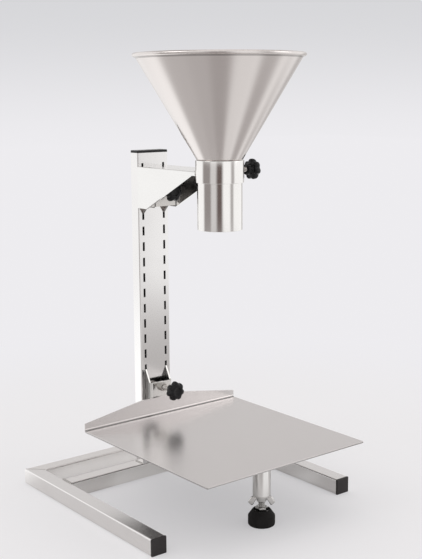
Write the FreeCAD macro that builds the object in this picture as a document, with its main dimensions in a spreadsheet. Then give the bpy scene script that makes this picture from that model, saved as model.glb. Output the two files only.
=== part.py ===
"""Filling funnel on a slotted stand, in millimetres, +Z up.

The origin lies on the floor in the middle of the footprint. The open ends of the base
legs, the tray and the clamp knobs point to -Y; the slotted column stands at the back.
"""
import FreeCAD, Part
import os

import Sketcher

doc = FreeCAD.newDocument("filling_funnel_with_stand")
sheet = doc.addObject("Spreadsheet::Sheet", "sizes")

# Driving sizes: name, value in millimetres or a count, meaning
SIZES = (
    ("base_width", 305, "outside width of the floor frame"),
    ("base_length", 286, "front of the leg plugs to the back of the rear rail"),
    ("tube_side", 20, "outside of the square base tubes"),
    ("tube_wall", 1.5, "wall of the square base tubes"),
    ("tube_corner", 2, "outer corner radius of the square base tubes"),
    ("rail_gap", 43, "clear gap between the rear rail and the column rail"),
    ("plug_flange", 2.5, "head thickness of a leg plug"),
    ("plug_stem", 14, "length of a leg plug inside its tube"),
    ("plug_wall", 1.6, "wall of the hollow stems of plugs and cap"),
    ("plug_clearance", 0.15, "gap all round a plug stem in its tube"),
    ("column_width", 46, "width of the slotted face"),
    ("column_depth", 16, "depth of the column"),
    ("column_height", 406.5, "column above its rail"),
    ("column_wall", 1.5, "wall of the column"),
    ("column_corner", 1.2, "outer corner radius of the column"),
    ("cap_head", 3, "head thickness of the column cap"),
    ("cap_stem", 12, "length of the cap inside the column"),
    ("slot_width", 3, "width of a hook slot"),
    ("slot_height", 11.3, "height of a hook slot"),
    ("slot_pitch", 20, "pitch of the slots up the column"),
    ("slot_count", 19, "slots in each row"),
    ("slot_spacing", 32, "distance between the two rows"),
    ("slot_first", 28, "middle of the lowest slot above the rail"),
    ("hook_sheet", 2.5, "sheet of the hook plates and brackets"),
    ("hook_neck", 6, "height of a hook's neck in its slot"),
    ("hook_lip", 4.5, "drop of a hook's lip behind the column wall"),
    ("hook_gap", 0.3, "gap between a lip and the inside of the wall"),
    ("rear_gap", 0.2, "gap between the brackets and the column face"),
    ("bracket_from_top", 3, "slots from the top down to the upper bracket's lower hook"),
    ("bracket_rise", 47.5, "top of the upper bracket above its lower hook seat"),
    ("bracket_width", 48, "outside width of the upper bracket"),
    ("bracket_back", 52, "height of the upper bracket's sides at the column"),
    ("bracket_heel", 18, "straight bottom edge of the sides at the column"),
    ("bracket_nose", 110, "column face to the end of the sloped edge"),
    ("nose_height", 5, "height of the sides from the nose on"),
    ("bend_radius", 2, "outer radius of the folds of the upper bracket"),
    ("cross_setback", 24, "column face to the back of the cross plate"),
    ("cross_height", 49, "top of the bracket to the foot of the cross plate"),
    ("tail_drop", 12.5, "hook plate below its lower hook seat"),
    ("tail_cut", 9.5, "corner cut off the tail of a hook plate"),
    ("clamp_drop", 30, "clamp screw below the top of the bracket"),
    ("collar_reach", 134.5, "column face to the axis of the collar"),
    ("collar_outer", 57, "outside diameter of the collar"),
    ("collar_wall", 1.5, "wall of the collar"),
    ("collar_height", 26, "height of the collar"),
    ("collar_rise", 0.5, "middle of the collar above the top of the bracket"),
    ("neck_gap", 0.4, "gap all round the neck in the collar"),
    ("neck_length", 81, "length of the straight neck"),
    ("funnel_sheet", 1, "sheet of the funnel"),
    ("mouth_outer", 200, "outside diameter over the rolled rim"),
    ("rim_radius", 3, "radius of the rolled rim"),
    ("cone_height", 119, "neck to the middle of the rolled rim"),
    ("seat_gap", 0.3, "gap between the cone and the collar's inner edge"),
    ("weld_gap", 0.05, "gap left at a curved weld joint"),
    ("tray_slots", 3, "slots below the tray's lower hook"),
    ("tray_drop", 13.5, "tray surface below its lower hook seat"),
    ("tray_width", 238, "width of the tray"),
    ("tray_depth", 246, "back of the flange to the front edge"),
    ("tray_sheet", 2, "sheet of the tray"),
    ("tray_corner", 1.2, "corner radius of the tray's front"),
    ("tray_bend", 3, "outer radius of the tray's bend"),
    ("flange_height", 23, "height of the tray's flange in the middle"),
    ("flange_end", 9, "height of the tray's flange at its ends"),
    ("flange_flat", 64, "length of the flange's level middle"),
    ("box_depth", 13, "column face to the face of the tray's hook box"),
    ("box_height", 42, "top of the hook box above the tray surface"),
    ("box_foot", 1.5, "bottom of the hook box above the tray surface"),
    ("box_bend", 4, "outer radius of the hook box's folds"),
    ("apex_rise", 16.5, "rise of the hook box's sides at the column"),
    ("apex_run", 9, "length of that rise in front of the column"),
    ("box_screw", 35.5, "clamp screw above the tray surface"),
    ("clamp_thread", 6, "thread of the three clamp screws"),
    ("clamp_hole", 6.6, "clearance hole for a clamp screw"),
    ("clamp_nut_flats", 10, "width across flats of a clamp nut"),
    ("clamp_nut_height", 5, "height of a clamp nut"),
    ("tip_gap", 0.1, "gap between a clamp screw's tip and the column"),
    ("neck_tip_gap", 0.3, "gap between the collar screw's tip and the neck"),
    ("clamp_reach", 32, "column face to the knob on the two clamp screws"),
    ("collar_knob_reach", 40, "collar axis to its knob"),
    ("running_gap", 0.05, "radial gap of a thread in its hole"),
    ("knob_outer", 25, "diameter over the lobes of a star knob"),
    ("knob_lobes", 7, "lobes of a star knob"),
    ("knob_head", 9, "thickness of the lobed head"),
    ("knob_hub", 6, "length of the hub behind the head"),
    ("hub_outer", 13, "diameter of the hub"),
    ("scallop_radius", 3.4, "radius of the hollows between lobes"),
    ("scallop_depth", 2.1, "depth of the hollows between lobes"),
    ("knob_crown", 2.2, "height of the bevel round the knob's face"),
    ("knob_bore", 12, "depth of the screw in the knob"),
    ("thread_chamfer", 0.7, "chamfer on the end of a thread"),
    ("leg_reach", 210, "column face to the support leg's axis"),
    ("leg_outer", 21, "outside diameter of the support leg"),
    ("leg_wall", 1.5, "wall of the support leg"),
    ("leg_floor", 36, "end of the support leg above the floor"),
    ("insert_flange", 1.5, "head thickness of the threaded insert"),
    ("insert_stem", 12, "length of the insert in the support leg"),
    ("foot_thread", 8, "thread of the levelling foot"),
    ("stud_foot", 6, "lower end of the stud above the floor"),
    ("stud_length", 60, "length of the levelling stud"),
    ("wing_hub_top", 14, "diameter of the wing nut's hub at the leg"),
    ("wing_hub_end", 11, "diameter of the hub at its free end"),
    ("wing_hub_height", 7, "height of the wing nut's hub"),
    ("wing_span", 32, "width over the wings"),
    ("wing_drop", 12.5, "depth of the wings' tips below the hub's top"),
    ("wing_edge", 0.6, "upper edge of the wings below the hub's top"),
    ("wing_root", 2.5, "depth of the wings at the hub"),
    ("wing_shoulder", 11.5, "nut's axis to the end of a wing's upper edge"),
    ("wing_tip", 5, "length of a wing's free end across the axis"),
    ("wing_tip_rise", 4.5, "rise of that end to its outer corner"),
    ("wing_thick", 2.6, "thickness of a wing"),
    ("wing_gap", 0.3, "gap between the wing nut and the insert"),
    ("foot_outer", 32, "largest diameter of the rubber foot"),
    ("foot_height", 19, "height of the rubber foot"),
    ("foot_neck", 21.4, "diameter of the rubber foot's rim"),
    ("foot_shoulder", 11.5, "height of the straight side of the foot"),
    ("foot_round", 2.5, "radius at the foot's sole"),
    ("recess_outer", 17.6, "diameter of the recess in the foot"),
    ("recess_depth", 3, "depth of the recess in the foot"),
    ("washer_outer", 16, "diameter of the foot's washer"),
    ("washer_thick", 1.2, "thickness of the foot's washer"),
    ("foot_nut_flats", 13, "width across flats of the foot's nut"),
    ("foot_nut_height", 5, "height of the foot's nut"),
)
for row, (alias, value, meaning) in enumerate(SIZES, start=1):
    sheet.set("A%d" % row, alias)
    sheet.set("B%d" % row, str(value))
    sheet.set("C%d" % row, meaning)
    sheet.setAlias("B%d" % row, alias)
doc.recompute()


def size(expression):
    """Value of an expression on the sheet, in millimetres."""
    return float(sheet.evalExpression(expression))


# Places that several pieces share, as expressions on the sheet
REAR = "(2 * sizes.tube_side + sizes.rail_gap + sizes.box_depth + sizes.tray_depth) / 2"
FACE = "(" + REAR + " - 2 * sizes.tube_side - sizes.rail_gap)"
SEAT = "(sizes.tube_side + sizes.slot_first - sizes.slot_height / 2)"
BRACKET_SEAT = "(" + SEAT + " + sizes.slot_pitch * (sizes.slot_count - sizes.bracket_from_top))"
BRACKET_TOP = "(" + BRACKET_SEAT + " + sizes.bracket_rise)"
CLAMP_LEVEL = "(" + BRACKET_TOP + " - sizes.clamp_drop)"
AXIS = "(" + FACE + " - sizes.collar_reach)"
COLLAR_MID = "(" + BRACKET_TOP + " + sizes.collar_rise)"
NECK_RADIUS = "(sizes.collar_outer / 2 - sizes.collar_wall - sizes.neck_gap)"
RIM_CENTRE = "(sizes.mouth_outer / 2 - sizes.rim_radius)"
CONE_SLOPE = "((" + RIM_CENTRE + " - " + NECK_RADIUS + ") / sizes.cone_height)"
NECK_TOP = (
    "(" + COLLAR_MID + " + sizes.collar_height / 2 + sizes.seat_gap"
    " - sizes.neck_gap / " + CONE_SLOPE + ")"
)
TRAY_SEAT = "(" + SEAT + " + sizes.slot_pitch * sizes.tray_slots)"
TRAY_TOP = "(" + TRAY_SEAT + " - sizes.tray_drop)"
BOX_FACE = "(" + FACE + " - sizes.box_depth)"
LEG_AXIS = "(" + FACE + " - sizes.leg_reach)"
LEG_TOP = "(" + TRAY_TOP + " - sizes.tray_sheet)"
WING_TOP = "(sizes.leg_floor - sizes.wing_gap)"
RECESS_FLOOR = "(sizes.foot_height - sizes.recess_depth)"

pieces = []


def new_body(name, place=("0", "0", "0"), turn=None):
    """Empty body for one piece, placed by expressions, turned about an axis by degrees."""
    body = doc.addObject("PartDesign::Body", name)
    body.Label = name
    if turn:
        axis, angle = turn
        body.Placement = FreeCAD.Placement(
            FreeCAD.Vector(), FreeCAD.Rotation(FreeCAD.Vector(*axis), angle))
    for letter, expression in zip("xyz", place):
        body.setExpression(".Placement.Base." + letter, expression)
    pieces.append(body)
    return body


FACING_FRONT = ((1, 0, 0), 90)
FACING_RIGHT = ((0, 1, 0), 90)
UPSIDE_DOWN = ((1, 0, 0), 180)


def new_sketch(body, plane, name):
    """Sketch on one of the body's own origin planes."""
    sketch = body.newObject("Sketcher::SketchObject", name)
    base = [item for item in body.Origin.OriginFeatures if item.Role == plane + "_Plane"]
    sketch.AttachmentSupport = [(base[0], "")]
    sketch.MapMode = "FlatFace"
    return sketch


def bind(sketch, kind, place, expression):
    """Constraint whose value follows an expression."""
    number = sketch.addConstraint(Sketcher.Constraint(kind, *place, size(expression)))
    sketch.setExpression("Constraints[%d]" % number, expression)


def add_outline(sketch, corners):
    """Closed outline of straight lines through corners given as pairs of expressions."""
    points = [FreeCAD.Vector(size(across), size(up), 0) for across, up in corners]
    first = sketch.GeometryCount
    count = len(points)
    for index, point in enumerate(points):
        sketch.addGeometry(Part.LineSegment(point, points[(index + 1) % count]), False)
    for index in range(count):
        following = first + (index + 1) % count
        sketch.addConstraint(Sketcher.Constraint("Coincident", first + index, 2, following, 1))
    for index, (across, up) in enumerate(corners):
        bind(sketch, "DistanceX", (-1, 1, first + index, 1), across)
        bind(sketch, "DistanceY", (-1, 1, first + index, 1), up)


def add_rectangle(sketch, left, right, low, high):
    """Rectangle between four expressions."""
    add_outline(sketch, ((left, low), (right, low), (right, high), (left, high)))


def add_circle(sketch, radius, across="0", up="0"):
    """Circle given by expressions."""
    centre = FreeCAD.Vector(size(across), size(up), 0)
    number = sketch.addGeometry(
        Part.Circle(centre, FreeCAD.Vector(0, 0, 1), size(radius)), False)
    bind(sketch, "Radius", (number,), radius)
    bind(sketch, "DistanceX", (-1, 1, number, 3), across)
    bind(sketch, "DistanceY", (-1, 1, number, 3), up)


def pad(body, sketch, length, both_ways=False, reverse=False):
    """Solid raised from a sketch by an expression's length."""
    feature = body.newObject("PartDesign::Pad", sketch.Name + "_pad")
    feature.Profile = sketch
    feature.setExpression("Length", length)
    if both_ways:
        feature.SideType = "Symmetric"
    feature.Reversed = reverse
    doc.recompute()
    return feature


def pocket(body, sketch, length=None, both_ways=False, reverse=False):
    """Cut made from a sketch, right through where no length is given."""
    feature = body.newObject("PartDesign::Pocket", sketch.Name + "_cut")
    feature.Profile = sketch
    if length is None:
        feature.Type = "ThroughAll"
    else:
        feature.setExpression("Length", length)
    if both_ways:
        feature.SideType = "Symmetric"
    feature.Reversed = reverse
    doc.recompute()
    return feature


def turn_about(body, sketch, kind, suffix):
    """Revolution or groove of a sketch about its own upright axis."""
    feature = body.newObject("PartDesign::" + kind, sketch.Name + suffix)
    feature.Profile = sketch
    feature.ReferenceAxis = (sketch, ["V_Axis"])
    feature.Angle = 360
    doc.recompute()
    return feature


def turned(body, name, corners):
    """Turned solid about Z from corners given as radius and height."""
    sketch = new_sketch(body, "XZ", name)
    add_outline(sketch, corners)
    return turn_about(body, sketch, "Revolution", "_turned")


def edges_of(feature, chosen):
    """Names of the feature's edges for which chosen(edge) is true."""
    found = enumerate(feature.Shape.Edges, start=1)
    return ["Edge%d" % number for number, edge in found if chosen(edge)]


def round_edges(body, feature, radius, chosen):
    """Fillet of the edges that chosen(edge) picks."""
    fillet = body.newObject("PartDesign::Fillet", feature.Name + "_round")
    fillet.Base = (feature, edges_of(feature, chosen))
    fillet.setExpression("Radius", radius)
    doc.recompute()
    return fillet


def runs_along(edge, axis):
    """True for a straight edge parallel to a body axis: 0 for X, 1 for Y, 2 for Z."""
    if not isinstance(edge.Curve, (Part.Line, Part.LineSegment)):
        return False
    run = edge.Vertexes[-1].Point - edge.Vertexes[0].Point
    return abs(abs(run[axis]) - run.Length) < 1e-6


def base_tube(name, plane, axis, place, length, left, right, both_ways):
    """Square tube raised from a section whose inside corners are sharp."""
    body = new_body(name, place)
    section = new_sketch(body, plane, name + "_section")
    add_rectangle(section, left, right, "0", "sizes.tube_side")
    solid = pad(body, section, length, both_ways)
    solid = round_edges(body, solid, "sizes.tube_corner", lambda edge: runs_along(edge, axis))
    hollow = new_sketch(body, plane, name + "_hollow")
    add_rectangle(
        hollow, left + " + sizes.tube_wall", right + " - sizes.tube_wall",
        "sizes.tube_wall", "sizes.tube_side - sizes.tube_wall")
    pocket(body, hollow, both_ways=True)
    return body


def make_base():
    """Two legs and a rear rail mitred into one U, and the rail that carries the column."""
    leg_length = "sizes.base_length - sizes.plug_flange"
    half = "sizes.tube_side / 2"
    for side, name in ((-1, "left_leg"), (1, "right_leg")):
        across = "%d * (sizes.base_width - sizes.tube_side) / 2" % side
        leg = base_tube(
            name, "XZ", 1, (across, REAR, "0"), leg_length, "-" + half, half, False)
        mitre = new_sketch(leg, "XY", name + "_mitre")
        inner = "%d * sizes.tube_side / 2" % -side
        outer = "%d * sizes.tube_side / 2" % side
        add_outline(mitre, ((outer, "0"), (inner, "0"), (inner, "-sizes.tube_side")))
        pocket(leg, mitre, both_ways=True)

    rail = base_tube(
        "rear_rail", "YZ", 0, ("0", REAR, "0"), "sizes.base_width",
        "-sizes.tube_side", "0", True)
    mitres = new_sketch(rail, "XY", "rear_rail_mitres")
    for side in (-1, 1):
        end = "%d * sizes.base_width / 2" % side
        inner = "%d * (sizes.base_width / 2 - sizes.tube_side)" % side
        add_outline(mitres, ((end, "0"), (end, "-sizes.tube_side"), (inner, "-sizes.tube_side")))
    pocket(rail, mitres, both_ways=True)

    base_tube(
        "column_rail", "YZ", 0, ("0", FACE, "0"), "sizes.base_width - 2 * sizes.tube_side",
        "0", "sizes.tube_side", True)


def end_cap(name, place, turn, width, depth, wall, head, stem, rounding):
    """Moulded cap: a flat head with rounded edges and a hollow stem inside the tube."""
    body = new_body(name, place, turn)
    face = new_sketch(body, "XY", name + "_head")
    add_rectangle(face, "-(" + width + ") / 2", width + " / 2",
                  "-(" + depth + ") / 2", depth + " / 2")
    solid = pad(body, face, head)
    top = size(head)
    round_edges(
        body, solid, rounding,
        lambda edge: runs_along(edge, 2) or edge.BoundBox.ZMin > top - 1e-6)
    ring = new_sketch(body, "XY", name + "_stem")
    outer_gap = "(" + wall + " + sizes.plug_clearance)"
    inner_gap = "(" + wall + " + sizes.plug_clearance + sizes.plug_wall)"
    for gap in (outer_gap, inner_gap):
        add_rectangle(ring, gap + " - " + width + " / 2", width + " / 2 - " + gap,
                      gap + " - " + depth + " / 2", depth + " / 2 - " + gap)
    pad(body, ring, stem, reverse=True)
    return body


def make_plugs():
    """Plastic plugs that close the front ends of the legs."""
    for side, name in ((-1, "left_leg_plug"), (1, "right_leg_plug")):
        place = (
            "%d * (sizes.base_width - sizes.tube_side) / 2" % side,
            REAR + " - sizes.base_length + sizes.plug_flange",
            "sizes.tube_side / 2")
        end_cap(name, place, FACING_FRONT, "sizes.tube_side", "sizes.tube_side",
                "sizes.tube_wall", "sizes.plug_flange", "sizes.plug_stem",
                "sizes.plug_flange / 3")


def make_column():
    """Upright rectangular tube with two rows of hook slots in its front wall."""
    body = new_body("slotted_column", ("0", FACE, "sizes.tube_side"))
    section = new_sketch(body, "XY", "column_section")
    half = "sizes.column_width / 2"
    add_rectangle(section, "-" + half, half, "0", "sizes.column_depth")
    solid = pad(body, section, "sizes.column_height")
    round_edges(body, solid, "sizes.column_corner", lambda edge: runs_along(edge, 2))
    hollow = new_sketch(body, "XY", "column_hollow")
    add_rectangle(
        hollow, "sizes.column_wall - " + half, half + " - sizes.column_wall",
        "sizes.column_wall", "sizes.column_depth - sizes.column_wall")
    pocket(body, hollow, both_ways=True)

    slots = new_sketch(body, "XZ", "column_slots")
    for side in (-1, 1):
        middle = "%d * sizes.slot_spacing / 2" % side
        add_rectangle(
            slots, middle + " - sizes.slot_width / 2", middle + " + sizes.slot_width / 2",
            "sizes.slot_first - sizes.slot_height / 2", "sizes.slot_first + sizes.slot_height / 2")
    first_pair = pocket(body, slots, "sizes.column_wall * 2")
    rows = body.newObject("PartDesign::LinearPattern", "slot_rows")
    rows.Originals = [first_pair]
    rows.Direction = (slots, ["V_Axis"])
    rows.setExpression("Length", "sizes.slot_pitch * (sizes.slot_count - 1)")
    rows.setExpression("Occurrences", "sizes.slot_count")
    body.Tip = rows
    doc.recompute()

    end_cap(
        "column_cap",
        ("0", FACE + " + sizes.column_depth / 2", "sizes.tube_side + sizes.column_height"),
        None, "sizes.column_width", "sizes.column_depth", "sizes.column_wall",
        "sizes.cap_head", "sizes.cap_stem", "sizes.cap_head / 3")


def hook_edge():
    """Rear edge of a hook plate, upwards: two hooks that drop behind the slots' lower edges."""
    edge = "-sizes.rear_gap"
    lip_face = "(sizes.column_wall + sizes.hook_gap)"
    lip_back = "(sizes.column_wall + sizes.hook_gap + sizes.hook_sheet)"
    corners = []
    for seat in ("0", "sizes.slot_pitch"):
        corners += [
            (edge, seat),
            (lip_face, seat),
            (lip_face, seat + " - sizes.hook_lip"),
            (lip_back, seat + " - sizes.hook_lip"),
            (lip_back, seat + " + sizes.hook_neck"),
            (edge, seat + " + sizes.hook_neck"),
        ]
    return corners


def make_upper_bracket():
    """Folded channel, cross plate and two hook plates that carry the collar."""
    channel = new_body("bracket_channel", ("0", FACE, BRACKET_TOP))
    side = new_sketch(channel, "YZ", "channel_side")
    front = "-(sizes.collar_reach - sizes.collar_outer / 4)"
    add_outline(side, (
        ("-sizes.rear_gap", "0"),
        ("-sizes.rear_gap", "-sizes.bracket_back"),
        ("-sizes.bracket_heel", "-sizes.bracket_back"),
        ("-sizes.bracket_nose", "-sizes.nose_height"),
        (front, "-sizes.nose_height"),
        (front, "0"),
    ))
    solid = pad(channel, side, "sizes.bracket_width", both_ways=True)
    round_edges(
        channel, solid, "sizes.bend_radius",
        lambda edge: runs_along(edge, 1) and edge.BoundBox.ZMin > -1e-6)
    inside = new_sketch(channel, "YZ", "channel_inside")
    add_rectangle(inside, front + " - 1", "1", "-sizes.bracket_back - 1", "-sizes.hook_sheet")
    pocket(channel, inside, "sizes.bracket_width - 2 * sizes.hook_sheet", both_ways=True)
    cope = new_sketch(channel, "XY", "channel_cope")
    add_circle(cope, "sizes.collar_outer / 2 + sizes.weld_gap", up="-sizes.collar_reach")
    pocket(channel, cope, both_ways=True)

    cross = new_body("bracket_cross_plate", ("0", FACE + " - sizes.cross_setback", BRACKET_TOP))
    plate = new_sketch(cross, "XZ", "cross_plate_face")
    half = "(sizes.bracket_width / 2 - sizes.hook_sheet)"
    add_rectangle(plate, "-" + half, half, "-sizes.cross_height", "-sizes.hook_sheet")
    add_circle(plate, "sizes.clamp_hole / 2", up="-sizes.clamp_drop")
    pad(cross, plate, "sizes.hook_sheet")

    for direction, name in ((-1, "left_hook_plate"), (1, "right_hook_plate")):
        across = "%d * sizes.slot_spacing / 2" % direction
        body = new_body(name, (across, FACE, BRACKET_SEAT))
        profile = new_sketch(body, "YZ", name + "_profile")
        top = "sizes.bracket_rise - sizes.hook_sheet"
        corners = [
            ("-sizes.cross_setback", top),
            ("-sizes.cross_setback", "-sizes.tail_drop + sizes.tail_cut"),
            ("-sizes.rear_gap - sizes.tail_cut", "-sizes.tail_drop + sizes.tail_cut"),
            ("-sizes.rear_gap", "-sizes.tail_drop"),
        ]
        corners += hook_edge()
        corners.append(("-sizes.rear_gap", top))
        add_outline(profile, corners)
        pad(body, profile, "sizes.hook_sheet", both_ways=True)


def make_collar():
    """Ring that holds the funnel's neck, with a hole for its clamp screw."""
    body = new_body("collar", ("0", AXIS, COLLAR_MID + " - sizes.collar_height / 2"))
    ring = new_sketch(body, "XY", "collar_ring")
    add_circle(ring, "sizes.collar_outer / 2")
    add_circle(ring, "sizes.collar_outer / 2 - sizes.collar_wall")
    pad(body, ring, "sizes.collar_height")
    hole = new_sketch(body, "YZ", "collar_screw_hole")
    add_circle(hole, "sizes.clamp_hole / 2", up="sizes.collar_height / 2")
    pocket(body, hole, "sizes.collar_outer", reverse=True)


def make_funnel():
    """Conical hopper with a rolled rim, welded on a straight neck."""
    cone = new_body("funnel_cone", ("0", AXIS, NECK_TOP))
    inner_neck = NECK_RADIUS + " - sizes.funnel_sheet"
    turned(cone, "cone_wall", (
        (inner_neck, "0"),
        (NECK_RADIUS, "0"),
        (RIM_CENTRE, "sizes.cone_height"),
        (RIM_CENTRE + " - sizes.funnel_sheet", "sizes.cone_height"),
    ))
    rim = new_sketch(cone, "XZ", "rolled_rim")
    add_outline(rim, [
        (RIM_CENTRE + " + sizes.rim_radius * cos(%d)" % angle,
         "sizes.cone_height + sizes.rim_radius * sin(%d)" % angle)
        for angle in range(0, 360, 30)])
    turn_about(cone, rim, "Revolution", "_turned")

    neck = new_body("funnel_neck", ("0", AXIS, NECK_TOP))
    turned(neck, "neck_wall", (
        (inner_neck, "-sizes.neck_length"),
        (NECK_RADIUS, "-sizes.neck_length"),
        (NECK_RADIUS, "0"),
        (inner_neck, "0"),
    ))


def make_tray():
    """Flat tray with a bent-up rear flange that slopes down to its ends."""
    body = new_body("tray", ("0", BOX_FACE, TRAY_TOP))
    profile = new_sketch(body, "YZ", "tray_profile")
    add_outline(profile, (
        ("0", "sizes.flange_height"),
        ("0", "-sizes.tray_sheet"),
        ("-sizes.tray_depth", "-sizes.tray_sheet"),
        ("-sizes.tray_depth", "0"),
        ("-sizes.tray_sheet", "0"),
        ("-sizes.tray_sheet", "sizes.flange_height"),
    ))
    solid = pad(body, profile, "sizes.tray_width", both_ways=True)
    sheet_low = -size("sizes.tray_sheet")
    solid = round_edges(
        body, solid, "sizes.tray_bend",
        lambda edge: runs_along(edge, 0) and edge.BoundBox.YMin > -1e-6
        and edge.BoundBox.ZMax < sheet_low + 1e-6)
    solid = round_edges(
        body, solid, "sizes.tray_bend - sizes.tray_sheet",
        lambda edge: runs_along(edge, 0) and abs(edge.BoundBox.YMax - sheet_low) < 1e-6
        and abs(edge.BoundBox.ZMax) < 1e-6)
    front = -size("sizes.tray_depth")
    round_edges(
        body, solid, "sizes.tray_corner",
        lambda edge: runs_along(edge, 2) and edge.BoundBox.YMax < front + 1e-6)
    trims = new_sketch(body, "XZ", "flange_trims")
    over = "sizes.flange_height + 1"
    for side in (-1, 1):
        end = "%d * sizes.tray_width / 2" % side
        past = "%d * (sizes.tray_width / 2 + 1)" % side
        level = "%d * sizes.flange_flat / 2" % side
        add_outline(trims, (
            (end, "sizes.flange_end"),
            (level, "sizes.flange_height"),
            (level, over),
            (past, over),
            (past, "sizes.flange_end"),
        ))
    pocket(body, trims, both_ways=True)


def make_hook_box():
    """Sheet folded to a U whose two sides hook into the column and whose face holds the tray."""
    body = new_body("tray_hook_box", ("0", FACE, TRAY_SEAT))
    profile = new_sketch(body, "YZ", "hook_box_side")
    top = "sizes.box_height - sizes.tray_drop"
    foot = "sizes.box_foot - sizes.tray_drop"
    corners = [
        ("-sizes.box_depth", top),
        ("-sizes.box_depth", foot),
        ("-sizes.rear_gap", foot),
    ]
    corners += hook_edge()
    corners += [
        ("-sizes.rear_gap", top + " + sizes.apex_rise"),
        ("-sizes.apex_run", top),
    ]
    add_outline(profile, corners)
    solid = pad(body, profile, "sizes.slot_spacing + sizes.hook_sheet", both_ways=True)
    front = -size("sizes.box_depth")
    round_edges(
        body, solid, "sizes.box_bend",
        lambda edge: runs_along(edge, 2) and edge.BoundBox.YMax < front + 1e-6)
    inside = new_sketch(body, "XY", "hook_box_inside")
    half = "(sizes.slot_spacing - sizes.hook_sheet) / 2"
    add_rectangle(
        inside, "-" + half, half, "sizes.hook_sheet - sizes.box_depth", "sizes.column_depth")
    pocket(body, inside, both_ways=True)
    hole = new_sketch(body, "XZ", "hook_box_screw_hole")
    add_circle(hole, "sizes.clamp_hole / 2", up="sizes.box_screw - sizes.tray_drop")
    pocket(body, hole, both_ways=True)


def hex_nut(name, place, turn, flats, height, thread):
    """Hexagon nut along its local Z, with its corners bevelled at the free end."""
    body = new_body(name, place, turn)
    faces = new_sketch(body, "XY", name + "_flats")
    corner = "(" + flats + " / sqrt(3))"
    add_outline(faces, [
        (corner + " * cos(%d)" % angle, corner + " * sin(%d)" % angle)
        for angle in range(0, 360, 60)])
    add_circle(faces, thread + " / 2 + sizes.running_gap")
    pad(body, faces, height)
    bevel = new_sketch(body, "XZ", name + "_bevel")
    past = corner + " + 1"
    add_outline(bevel, (
        (flats + " / 2", height),
        (past, height),
        (past, height + " - (" + past + " - " + flats + " / 2) * tan(30)"),
    ))
    turn_about(body, bevel, "Groove", "_cut")


def stud(name, place, turn, thread, length):
    """Threaded rod along its local Z with chamfered ends."""
    body = new_body(name, place, turn)
    radius = thread + " / 2"
    shrunk = radius + " - sizes.thread_chamfer"
    turned(body, name + "_profile", (
        ("0", "0"),
        (shrunk, "0"),
        (radius, "sizes.thread_chamfer"),
        (radius, length + " - sizes.thread_chamfer"),
        (shrunk, length),
        ("0", length),
    ))


def star_knob(name, place, turn):
    """Moulded star knob: a hub, then a lobed head with a bevelled face."""
    body = new_body(name, place, turn)
    hub = new_sketch(body, "XY", name + "_hub")
    add_circle(hub, "sizes.hub_outer / 2")
    pad(body, hub, "sizes.knob_hub + sizes.knob_head / 2")
    top = "sizes.knob_hub + sizes.knob_head"
    outer = "sizes.knob_outer / 2"
    turned(body, name + "_head", (
        ("0", "sizes.knob_hub"),
        (outer + " - 1", "sizes.knob_hub"),
        (outer, "sizes.knob_hub + 1"),
        (outer, top + " - sizes.knob_crown"),
        (outer + " - sizes.knob_crown", top),
        ("0", top),
    ))
    hollow = new_sketch(body, "XY", name + "_scallop")
    reach = outer + " - sizes.scallop_depth + sizes.scallop_radius"
    half_lobe = "(180 / sizes.knob_lobes)"
    add_circle(hollow, "sizes.scallop_radius", "(" + reach + ") * cos(" + half_lobe + ")",
               "(" + reach + ") * sin(" + half_lobe + ")")
    scallop = pocket(body, hollow, both_ways=True)
    lobes = body.newObject("PartDesign::PolarPattern", name + "_lobes")
    lobes.Originals = [scallop]
    lobes.Axis = (hollow, ["N_Axis"])
    lobes.Angle = 360
    lobes.setExpression("Occurrences", "sizes.knob_lobes")
    body.Tip = lobes
    doc.recompute()
    bore = new_sketch(body, "XY", name + "_bore")
    add_circle(bore, "sizes.clamp_thread / 2 + sizes.running_gap")
    pocket(body, bore, "sizes.knob_bore", reverse=True)


def make_clamp(group, turn, tip, seat, knob):
    """Weld nut, clamp screw and star knob on one axis; tip, seat and knob are places on it."""
    hex_nut(group + "_weld_nut", seat, turn,
            "sizes.clamp_nut_flats", "sizes.clamp_nut_height", "sizes.clamp_thread")
    if turn is FACING_FRONT:
        run = "(" + tip[1] + ") - (" + knob[1] + ")"
    else:
        run = "(" + knob[0] + ") - (" + tip[0] + ")"
    stud(group + "_screw", tip, turn, "sizes.clamp_thread",
         "(" + run + " + sizes.knob_bore - sizes.seat_gap)")
    star_knob(group + "_knob", knob, turn)


def make_clamps():
    """Three clamps: upper bracket and tray press on the column, the collar's on the neck."""
    tip = FACE + " - sizes.tip_gap"
    knob = FACE + " - sizes.clamp_reach"
    make_clamp(
        "bracket", FACING_FRONT, ("0", tip, CLAMP_LEVEL),
        ("0", FACE + " - sizes.cross_setback - sizes.hook_sheet", CLAMP_LEVEL),
        ("0", knob, CLAMP_LEVEL))
    level = TRAY_TOP + " + sizes.box_screw"
    make_clamp(
        "tray", FACING_FRONT, ("0", tip, level), ("0", BOX_FACE, level), ("0", knob, level))
    make_clamp(
        "collar", FACING_RIGHT, (NECK_RADIUS + " + sizes.neck_tip_gap", AXIS, COLLAR_MID),
        ("sizes.collar_outer / 2", AXIS, COLLAR_MID),
        ("sizes.collar_knob_reach", AXIS, COLLAR_MID))


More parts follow.
